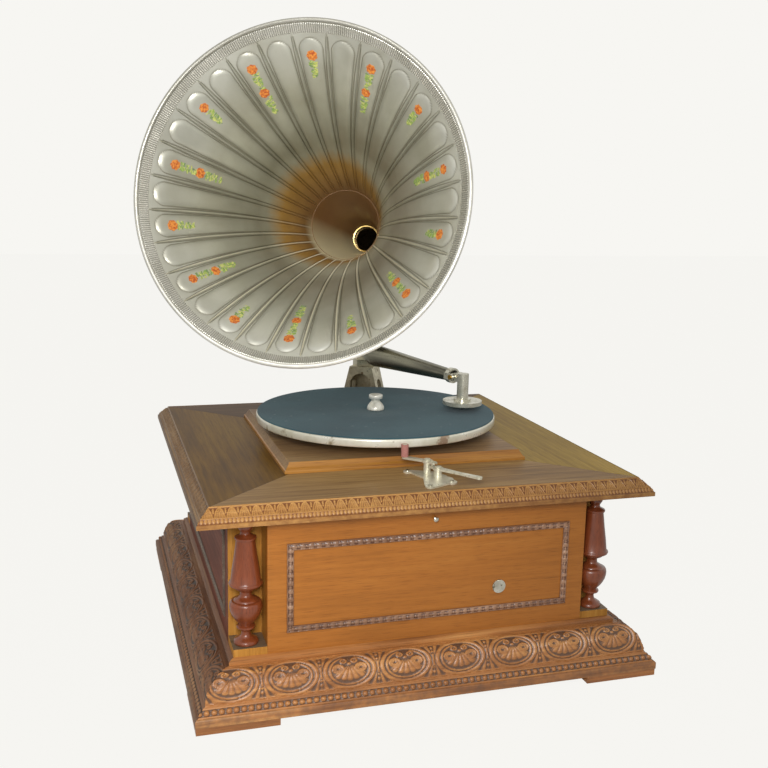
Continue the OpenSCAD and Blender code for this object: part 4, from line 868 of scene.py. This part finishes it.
felt, tree, surface = finish("turntable_felt", roughness=0.95)
surface.inputs["Sheen Weight"].default_value = 0.1
surface.inputs["Sheen Roughness"].default_value = 0.6
where = object_place(tree)
nap = noise(tree, where, 1400.0, 3.0)
worn = mix(tree, 0.6, nap, noise(tree, where, 14.0, 4.0))
cloth = tones(tree, worn, (0.36, "30505a"), (0.66, "456a72"))
threads = add(tree, "Mapping", Vector=where, Rotation=(0, 0, 0.35), Scale=(0.45, 1.3, 1))
lint = add(tree, "TexVoronoi", Vector=threads.outputs[0], Scale=120.0).outputs["Distance"]
fluff = tones(tree, lint, (0.045, WHITE), (0.09, BLACK))
feed(surface, "Base Color", mix(tree, fluff, cloth, "98a3a0"))
roughen(surface, nap, 0.5, Distance=0.0006)
on_spindle("felt_disc", FELT_DISC, felt, "turntable", "platter_felt", "felt", 180, 50)

# Record clamp: a turned nickel knob that drops over the spindle and holds the record.

KNOB_LOW = 222.35
KNOB = [(0, SPINDLE_R + 0.05), (0, 8.8), (0.3, 9.25), (1.4, 9.25), (3.0, 8.9), (4.6, 8.2),
        (6.2, 7.1), (7.6, 5.8), (8.6, 4.9), (9.2, 4.4), (10.6, 4.3), (11.4, 4.6),
        (11.9, 6.2), (12.3, 7.2), (12.8, 7.4), (15.4, 7.4), (16.0, 7.1), (16.4, 6.2),
        (16.5, 0.0), (13.5, 0.0), (12.0, SPINDLE_R + 0.05)]
knob_nickel = metal("knob_nickel", "ece8d6", "fffdf2", scale=120, metallic=0.25)
on_spindle("turned_clamp", [(KNOB_LOW + z, r) for z, r in KNOB], knob_nickel, "clamp",
           "record_clamp", "nickel", 64, 35)

# Bracket and tonearm: a nickelled casting on an arched foot carries the collar that holds
# both the arm and the horn. The arm is a tapered tube with the sound box hung at its end.

cast_nickel = metal("cast_nickel", "9a927c", "cec8ae", roughness=0.34, stain="6c5a40",
                    metallic=0.8)
arm_metal = metal("arm_metal", "54524a", "8e8b78", roughness=0.28, scale=90,
                  stain="4a4238", stain_amount=0.1, drawn=-72.2, metallic=0.9)
box_metal = metal("box_metal", "b4b19f", "dcd9ca", roughness=0.28, scale=90,
                  metallic=0.75)
dress(cast_nickel, "back_bracket")
dress(arm_metal, "tonearm")
dress(nickel, "deck_screws")
dress(box_metal, "arm_yoke", "sound_box")
dress(brass, "yoke_screws")
dress(steel, "stylus")

mica, tree, surface = finish("mica_sheet", roughness=0.25)
where = object_place(tree)
flakes = add(tree, "TexVoronoi", Vector=where, Scale=420.0).outputs["Distance"]
feed(surface, "Base Color", tones(tree, flakes, (0, "5d5648"), (1, "8e8672")))
dress(mica, "diaphragm")

# Horn: a steel flare of twenty-eight pressed panels, each a long tongue with a rounded
# end in a fine groove between two ribs, silvered outside and gilt brown towards the throat.

HORN_TURN, HORN_TILT = 27.5, 9.8
PIVOT = (37.0, 148.0)
ELBOW_Z, ELBOW_BEND, RING_RUN = 357.0, 40.0, 5.0
MOUTH_R, THROAT_R, HORN_LEN, THROAT_LEN, SHEET = 148.0, 15.0, 300.0, 115.0, 1.0
PANELS = 28
GROWTH = log(MOUTH_R / THROAT_R) / HORN_LEN

turn, tilt = radians(HORN_TURN), radians(HORN_TILT)
horn_axis = np.array([-sin(turn) * cos(tilt), -cos(turn) * cos(tilt),
                      sin(tilt)])
level_run = ELBOW_BEND * (1 - sin(tilt))
horn_foot = (np.array([PIVOT[0], PIVOT[1], ELBOW_Z])
             + np.array([-sin(turn), -cos(turn), 0]) * level_run
             + np.array([0, 0, ELBOW_BEND * cos(tilt)]) + horn_axis * RING_RUN)
horn_right = np.array([cos(turn), -sin(turn), 0])
horn_up = np.cross(horn_axis, horn_right)


def flare(t):
    """The horn's inner radius at t along its axis."""
    return MOUTH_R * np.exp(-GROWTH * (HORN_LEN - t))


def height_at(r):
    """The place along the horn's axis where its inner radius is r."""
    return HORN_LEN + log(r / MOUTH_R) / GROWTH


def both_faces(values):
    """Values of a sheet's points, given for its inner face and again for its outer."""
    return np.concatenate([values, values[:, ::-1]], 1)


def on_horn(angle, t, lift=0.0):
    """A point on the horn's inner face. lift is how far it stands off towards the axis;
    angle 0 is at the top and grows clockwise as seen from the front."""
    r = flare(t)
    slope = GROWTH * r
    norm = np.sqrt(1 + slope ** 2)
    radius, run = r - lift / norm, t + lift * slope / norm
    side, top = radius * np.sin(angle), radius * np.cos(angle)
    return (horn_foot + horn_axis * run[..., None] + horn_right * side[..., None]
            + horn_up * top[..., None])


END_R = 137.2             # where the tongues end
TONGUE = 0.74             # a tongue's half width, as a share of its panel's
LOWER_TURN = 0.061        # how far the lowest panels sit clockwise of an even share
PITCH = 2 * pi / PANELS


def set_back(angle):
    """The panels below the middle were pressed a little further clockwise."""
    return LOWER_TURN * np.maximum(0, -np.cos(angle)) ** 2


def pressed_at(even):
    """Where a panel evenly set at an angle really lies."""
    angle = even + set_back(even)
    for _ in range(3):
        angle = even + set_back(angle)
    return angle


def in_panel(angle, t):
    """Distance from the panel's middle line and the panel's half width, both in mm, and
    how much smaller its pattern is than at the mouth."""
    r = flare(t)
    part = ((angle - set_back(angle)) / PITCH + 0.5) % 1 - 0.5
    half = PITCH / 2 * r
    return np.abs(part) * PITCH * r, half, np.clip(half / 11, 0.42, 1)


def seam_rib(angle, t):
    """The round rib between two panels, from 0 to 1, and its half width in mm."""
    across, half, small = in_panel(angle, t)
    fade = np.clip((END_R + 2.2 - flare(t)) / 22, 0, 1) ** 0.6
    width = (0.62 + 0.5 * small) * (0.3 + 0.7 * fade)
    return bump(half - across, width) * (fade > 0), width


def pressing(angle, t):
    """Height of the pressed pattern towards the viewer, in mm: a pillow of a tongue in
    a fine groove, and a round seam rib between two panels."""
    r = flare(t)
    across, half, small = in_panel(angle, t)
    wide = TONGUE * half
    end_wide = TONGUE * PITCH / 2 * END_R
    # distance run along the skin, from the centre of the tongue's round end
    run = (r - (END_R - end_wide * 0.80)) * np.sqrt(1 + (GROWTH * r) ** -2)
    edge = np.where(run > 0, np.hypot(across, run) - wide, across - wide)
    start = np.clip((t - THROAT_LEN - 1) / 8, 0, 1)
    pillow = 1.35 * (1 - (1 - np.clip(-edge / (5.5 * small), 0, 1)) ** 2)
    groove = -0.4 * bump(edge, 0.6 * small)
    rib, width = seam_rib(angle, t)
    gutter = -0.4 * bump(half - across - 1.6 * width, 0.6 * width) * (r < END_R)
    return start * (pillow + groove + 1.5 * rib + gutter) * small


t_rows = np.concatenate([np.linspace(THROAT_LEN + 0.02, 240, 46)[:-1],
                         np.linspace(240, 276, 17)[:-1], np.linspace(276, 292, 34)[:-1],
                         np.linspace(292, HORN_LEN, 10)])
shares = [0.0, 0.09, 0.17, 0.23, 0.27, 0.30, 0.325, 0.345, 0.358, 0.37, 0.382, 0.395,
          0.41, 0.425, 0.44, 0.455, 0.468, 0.48, 0.49, 0.5]
shares = [-f for f in shares[:0:-1]] + shares[:-1]
even = np.array([(k + f) * PITCH for k in range(PANELS) for f in shares])


def sheet_skin(angle, t, press):
    """Points of the horn's sheet, its inner face and then its outer, and the numbers its
    material reads: reach from the axis, share of the mouth's, and place round the axis."""
    skin = np.concatenate([on_horn(angle, t, press),
                           on_horn(angle, t, press - SHEET)[:, ::-1]], 1)
    round_ = both_faces(angle).reshape(-1)
    return skin, {"reach": (flare(both_faces(t)) / MOUTH_R).reshape(-1),
                  "sideways": np.sin(round_), "topways": np.cos(round_)}


A, T = np.meshgrid(pressed_at(even), t_rows, indexing="ij")
press = pressing(A, T)
skin, shown = sheet_skin(A, T, press)
# painted shade: where the pressing sinks, in the grooves and gutters, low falls and the
# colour is darkened
low = np.clip(1 + 1.9 * press, 0, 1)
shown["low"] = np.concatenate([low, np.ones_like(low)], 1).reshape(-1)
# painted highlight: the seam ribs of the lower panels, which face the light, are painted
# light cream
bright = seam_rib(A, T)[0] * np.clip(0.15 - 0.95 * np.cos(A), 0, 1)
shown["bright"] = np.concatenate([bright, np.zeros_like(bright)], 1).reshape(-1)

horn_silver, tree, surface = finish("horn_silver", roughness=0.38, metallic=0.6)


def stored(name):
    """A number that the horn's points carry."""
    return add(tree, "Attribute", {"attribute_name": name}).outputs["Fac"]


reach, sideways, topways = stored("reach"), stored("sideways"), stored("topways")
round_place = add(tree, "CombineXYZ", X=sideways, Y=topways).outputs[0]
where = object_place(tree)


def towards(angle):
    """How far each place on the horn lies towards an angle about its axis, -1 to 1."""
    return add(tree, "VectorMath", {"operation": "DOT_PRODUCT"}, _0=round_place,
               _1=(sin(angle), cos(angle), 0)).outputs["Value"]


flow = add(tree, "CombineXYZ", X=sideways, Y=reach, Z=topways)
flow = add(tree, "Mapping", Vector=flow.outputs[0], Scale=(9.0, 2.2, 9.0))
streaks = noise(tree, flow.outputs[0], 3.0, 6.0, Roughness=0.6)
# the gilding's edge wanders a little, and lies further in at the lower right
edge = joined(tree, "ADD", reach, rescaled(tree, streaks, 0.3, 0.7, -0.012, 0.012))
less = joined(tree, "MULTIPLY", rescaled(tree, towards(2.2), -0.4, 1.0, 0.0, 0.13),
              rescaled(tree, reach, 0.262, 0.285, 0.0, 1.0))
# the silver is painted darker towards the gilding, as painted shade deeper in the horn
plating = tones(tree, joined(tree, "ADD", edge, less), (0.0, "9c7a50"), (1.0, "c6c5ba"),
                (0.20, "84603c"), (0.245, "8c673e"), (0.27, "8a683c"), (0.36, "a07c40"),
                (0.425, "9a9782"), (0.58, "a8a695"), (0.85, "b8b7aa"))
dirt = tones(tree, noise(tree, where, 22.0, 6.0), (0.34, (0.72, 0.70, 0.64, 1)),
             (0.6, WHITE))
aged = mix(tree, 0.7, plating, dirt, "MULTIPLY")
feed(surface, "Metallic", rescaled(tree, reach, 0.38, 0.46, 0.15, 0.6))
# the dark brown that the grooves are painted with as shade
groove_shade = mix(tree, 1.0, aged, (0.34, 0.31, 0.25, 1), "MULTIPLY")
grooves_shaded_ribs_lit = mix(tree, stored("bright"), mix(tree, stored("low"), groove_shade, aged), "e6e0c8")
# light from the mouth greys the lower side of the neck
grey = joined(tree, "MULTIPLY", rescaled(tree, towards(3.5), 0.1, 0.95, 0.0, 0.95),
              rescaled(tree, reach, 0.25, 0.27, 1.0, 0.0))
feed(surface, "Base Color", mix(tree, grey, grooves_shaded_ribs_lit, "cfc6a0"))
roughen(surface, noise(tree, where, 900.0, 3.0), 0.05, Distance=0.0006)

piece("fluted_horn", skin.reshape(-1, 3), grid_faces(*skin.shape[:2]), horn_silver,
      "horn", ("horn_bell",), "horn_silver", sharp=60, weld=False, values=shown)

# Throat of the horn: a smooth brown tube in the same line, held in the elbow's brass ring.

throat_t = np.concatenate([[3.4], np.linspace(6, THROAT_LEN, 30)])
throat_a = np.linspace(0, 2 * pi, 96, endpoint=False)
A, T = np.meshgrid(throat_a, throat_t, indexing="ij")
skin, shown = sheet_skin(A, T, 0 * A)
RING_BORE, RING_R = 15.42, 18.4
ring_outline = [(-RING_RUN + 1, RING_BORE), (-RING_RUN + 1, 18.0),
                (-RING_RUN + 1.5, RING_R), (-1.8, RING_R), (-1.3, 17.9), (-0.8, RING_R),
                (2.0, RING_R), (3.6, 17.6), (4.0, 16.6), (4.0, 15.6), (3.0, RING_BORE)]


def about_horn(outline, segments):
    """A piece turned about the horn's axis, from (t, radius)."""
    points = []
    for i in range(segments):
        a = 2 * pi * i / segments
        around = horn_right * sin(a) + horn_up * cos(a)
        points += [tuple(horn_foot + horn_axis * t + around * r) for t, r in outline]
    return points, grid_faces(segments, len(outline))


points, faces = several([(skin.reshape(-1, 3), grid_faces(*skin.shape[:2])),
                         about_horn(ring_outline, 96)])
ring_shown = {"reach": 0.30, "sideways": 0.0, "topways": 1.0}
shown = {key: np.concatenate([numbers, np.full(96 * len(ring_outline), ring_shown[key])])
         for key, numbers in shown.items()}
shown["low"] = np.ones(len(points))
piece("horn_neck", points, faces, horn_silver, "horn", ("horn_throat",), "horn_brown",
      sharp=40, weld=False, values=shown)
bright_brass = metal("bright_brass", "c8a458", "f0dc98", scale=90)
points, faces = about_horn([(3.6, 15.05), (3.6, 13.9), (4.4, 13.5), (5.4, 13.9),
                            (5.8, 15.15)], 72)
piece("throat_ring", points, faces, bright_brass, "horn", weld=False)


def wire(t, radius, thick, n):
    """Outline of a round wire that runs round the horn."""
    return [(t + thick * sin(a), radius + thick * cos(a))
            for a in np.linspace(0, 2 * pi, n, endpoint=False)]


points, faces = about_horn(wire(THROAT_LEN - 0.8, float(flare(THROAT_LEN)) - 0.1, 0.5, 10),
                           96)
# the bead takes half of the grooves' painted shade colour
piece("neck_bead", points, faces, horn_silver, "horn", weld=False,
      values={"reach": np.full(len(points), 0.24), "low": np.full(len(points), 0.55)})
dress(metal("elbow_nickel", "6a5636", "93805a", roughness=0.32, scale=70,
            stain="4c3c26", stain_amount=0.4), "horn_elbow")

# Rim of the horn: the sheet's edge is rolled round a wire, and a fine reeded band is
# pressed just inside it. Both carry painted light: the roll is painted lighter on the side
# towards the lamps and darker away from them, and the reeds lighter on their tops and
# towards the lamps, with painted shade between them.

rim_metal = metal("rim_metal", "dcdad0", "f6f4ec", roughness=0.34, scale=50, metallic=0.7,
                  grime_and_shade="7c796c")
ROLL_R, ROLL_N, REEDS = 2.1, 180, 480
roll = wire(HORN_LEN - 0.4, MOUTH_R + ROLL_R - 2.2, ROLL_R, 20)
# painted light and shade round the roll, by its angle about the horn
shown = [0.25 + 0.7 * (0.5 - 0.5 * cos(2 * pi * i / ROLL_N + 0.35))
         for i in range(ROLL_N) for _ in roll]
reed_rows = [(0.0, 139.2), (1.0, 139.9), (1.0, 145.6), (0.0, 146.4)]  # share proud, radius
reed_points = []
for i in range(2 * REEDS):
    a = pi * i / REEDS
    top = i % 2 == 0
    for share, r in reed_rows:
        high = share * (0.85 if top else 0.1) if share else -0.35
        reed_points.append(on_horn(np.array([a]), np.array([height_at(r)]),
                                   np.array([high]))[0])
    # painted light on the reeds' tops towards the lamps, painted shade in the valleys
    lit = 0.5 + 0.5 * cos(a - 5.5)
    shown += [0.6 + 0.4 * lit if top else 0.25] * len(reed_rows)
points, faces = several([about_horn(roll, ROLL_N),
                         (reed_points, grid_faces(2 * REEDS, 4, closed=False))])
piece("rolled_rim", points, faces, rim_metal, "horn", ("horn_rim",), "horn_silver",
      sharp=30, weld=False, values={"carved": shown})

# Transfers: on every second panel a small printed spray lies on the silver, one or two
# orange rosettes over a tail of green and yellow leaves. They are thin raised prints.


def speckled(name, roughness, scale, detail, *stops):
    """A material whose colour wanders between two tones in small specks."""
    material, tree, surface = finish(name, roughness)
    specks = noise(tree, object_place(tree), scale, detail)
    feed(surface, "Base Color", tones(tree, specks, *stops))
    return material


print_rosette = speckled("rosette_print", 0.6, 520.0, 4.0, (0.38, "ac4a1c"),
                         (0.62, "e0903a"))
leaf_prints = [speckled("leaf_print_" + name, 0.6, 700.0, 3.0, (0.38, dark), (0.62, light))
               for name, dark, light in (("green", "7c9848", "98aa58"),
                                         ("yellow", "b0b45c", "c8ca78"),
                                         ("dark", "66804c", "80965c"))]

rng = np.random.default_rng(7)


def patch(angle, t, outline, dome):
    """A thin print on the horn: outline is a list of (x, y) mm round its middle, y
    towards the throat, domed by dome mm over the pressed skin."""
    r = float(flare(t))
    stretch = sqrt(1 + (GROWTH * r) ** -2)
    n = len(outline)
    spots = [(0.0, 0.0, dome)] + [(0.55 * x, 0.55 * y, 0.75 * dome) for x, y in outline]
    spots += [(x, y, 0.25 * dome) for x, y in outline]
    spots += [(x, y, -0.3) for x, y in outline]
    x, y, high = np.array(spots).T
    turned_to = angle + x / r
    run = HORN_LEN + np.log((r - y / stretch) / MOUTH_R) / GROWTH
    points = on_horn(turned_to, run, pressing(turned_to, run) + high)
    faces = [(0, 1 + i, 1 + (i + 1) % n) for i in range(n)]
    for first in (1, 1 + n):
        faces += [(first + i, first + n + i, first + n + (i + 1) % n,
                   first + (i + 1) % n) for i in range(n)]
    faces.append([1 + 2 * n + i for i in range(n)][::-1])
    return points, faces


rosettes, leaves = [], [[], [], []]
for k in range(0, PANELS, 2):
    angle = float(pressed_at(k * PITCH))
    for start in ([0.0] if k % 4 == 0 else [0.0, 22.0]):
        r_here = 125.0 - start * 0.76
        shift = rng.uniform(-0.9, 0.9)
        size = rng.uniform(4.2, 4.9)
        phase = rng.uniform(0, 6)
        petals = []
        for a in np.linspace(0, 2 * pi, 30, endpoint=False):
            edge = size * (1 + 0.07 * cos(7 * a + phase) + rng.uniform(-0.05, 0.05))
            petals.append((edge * sin(a) + shift, edge * cos(a)))
        rosettes.append(patch(angle, height_at(r_here), petals, 0.35))
        for _ in range(64):
            down = rng.uniform(4.6, 19.0)
            side = rng.uniform(-4.3, 4.3) * (1 - 0.5 * (down / 19) ** 2) + shift
            tint = int(rng.choice(3, p=(0.4, 0.4, 0.2)))
            lean = rng.uniform(-1.2, 1.2)
            length, width = rng.uniform(0.8, 1.4), rng.uniform(0.4, 0.7)
            blade = []
            for a in np.linspace(0, 2 * pi, 7, endpoint=False):
                px, py = width * sin(a), length * cos(a)
                blade.append((px * cos(lean) - py * sin(lean) + side,
                              px * sin(lean) + py * cos(lean)))
            leaves[tint].append(patch(angle, height_at(r_here - down * 0.76), blade,
                                      rng.uniform(0.12, 0.25)))
piece("rosette_prints", *several(rosettes), print_rosette, "horn", weld=False)
for name, parts, material in zip(("green", "yellow", "dark"), leaves, leaf_prints):
    piece("leaf_prints_" + name, *several(parts), material, "horn", weld=False)

# Brake: a small nickelled plate screwed to the lid, with a lever whose leather pad stops
# the turntable's rim, worked by a second lever with a flat finger end.

brake_nickel = metal("brake_nickel", "c8c3ac", "e6e2d0", roughness=0.36,
                     stain="958c70", stain_amount=0.12, metallic=0.55)
dress(brake_nickel, "brake_plate", "brake_arm", "brake_handle")
pad_leather = speckled("pad_leather", 0.8, 600.0, 5.0, (0, "9a5a52"), (1, "cf948a"))
dress(pad_leather, "brake_pad")
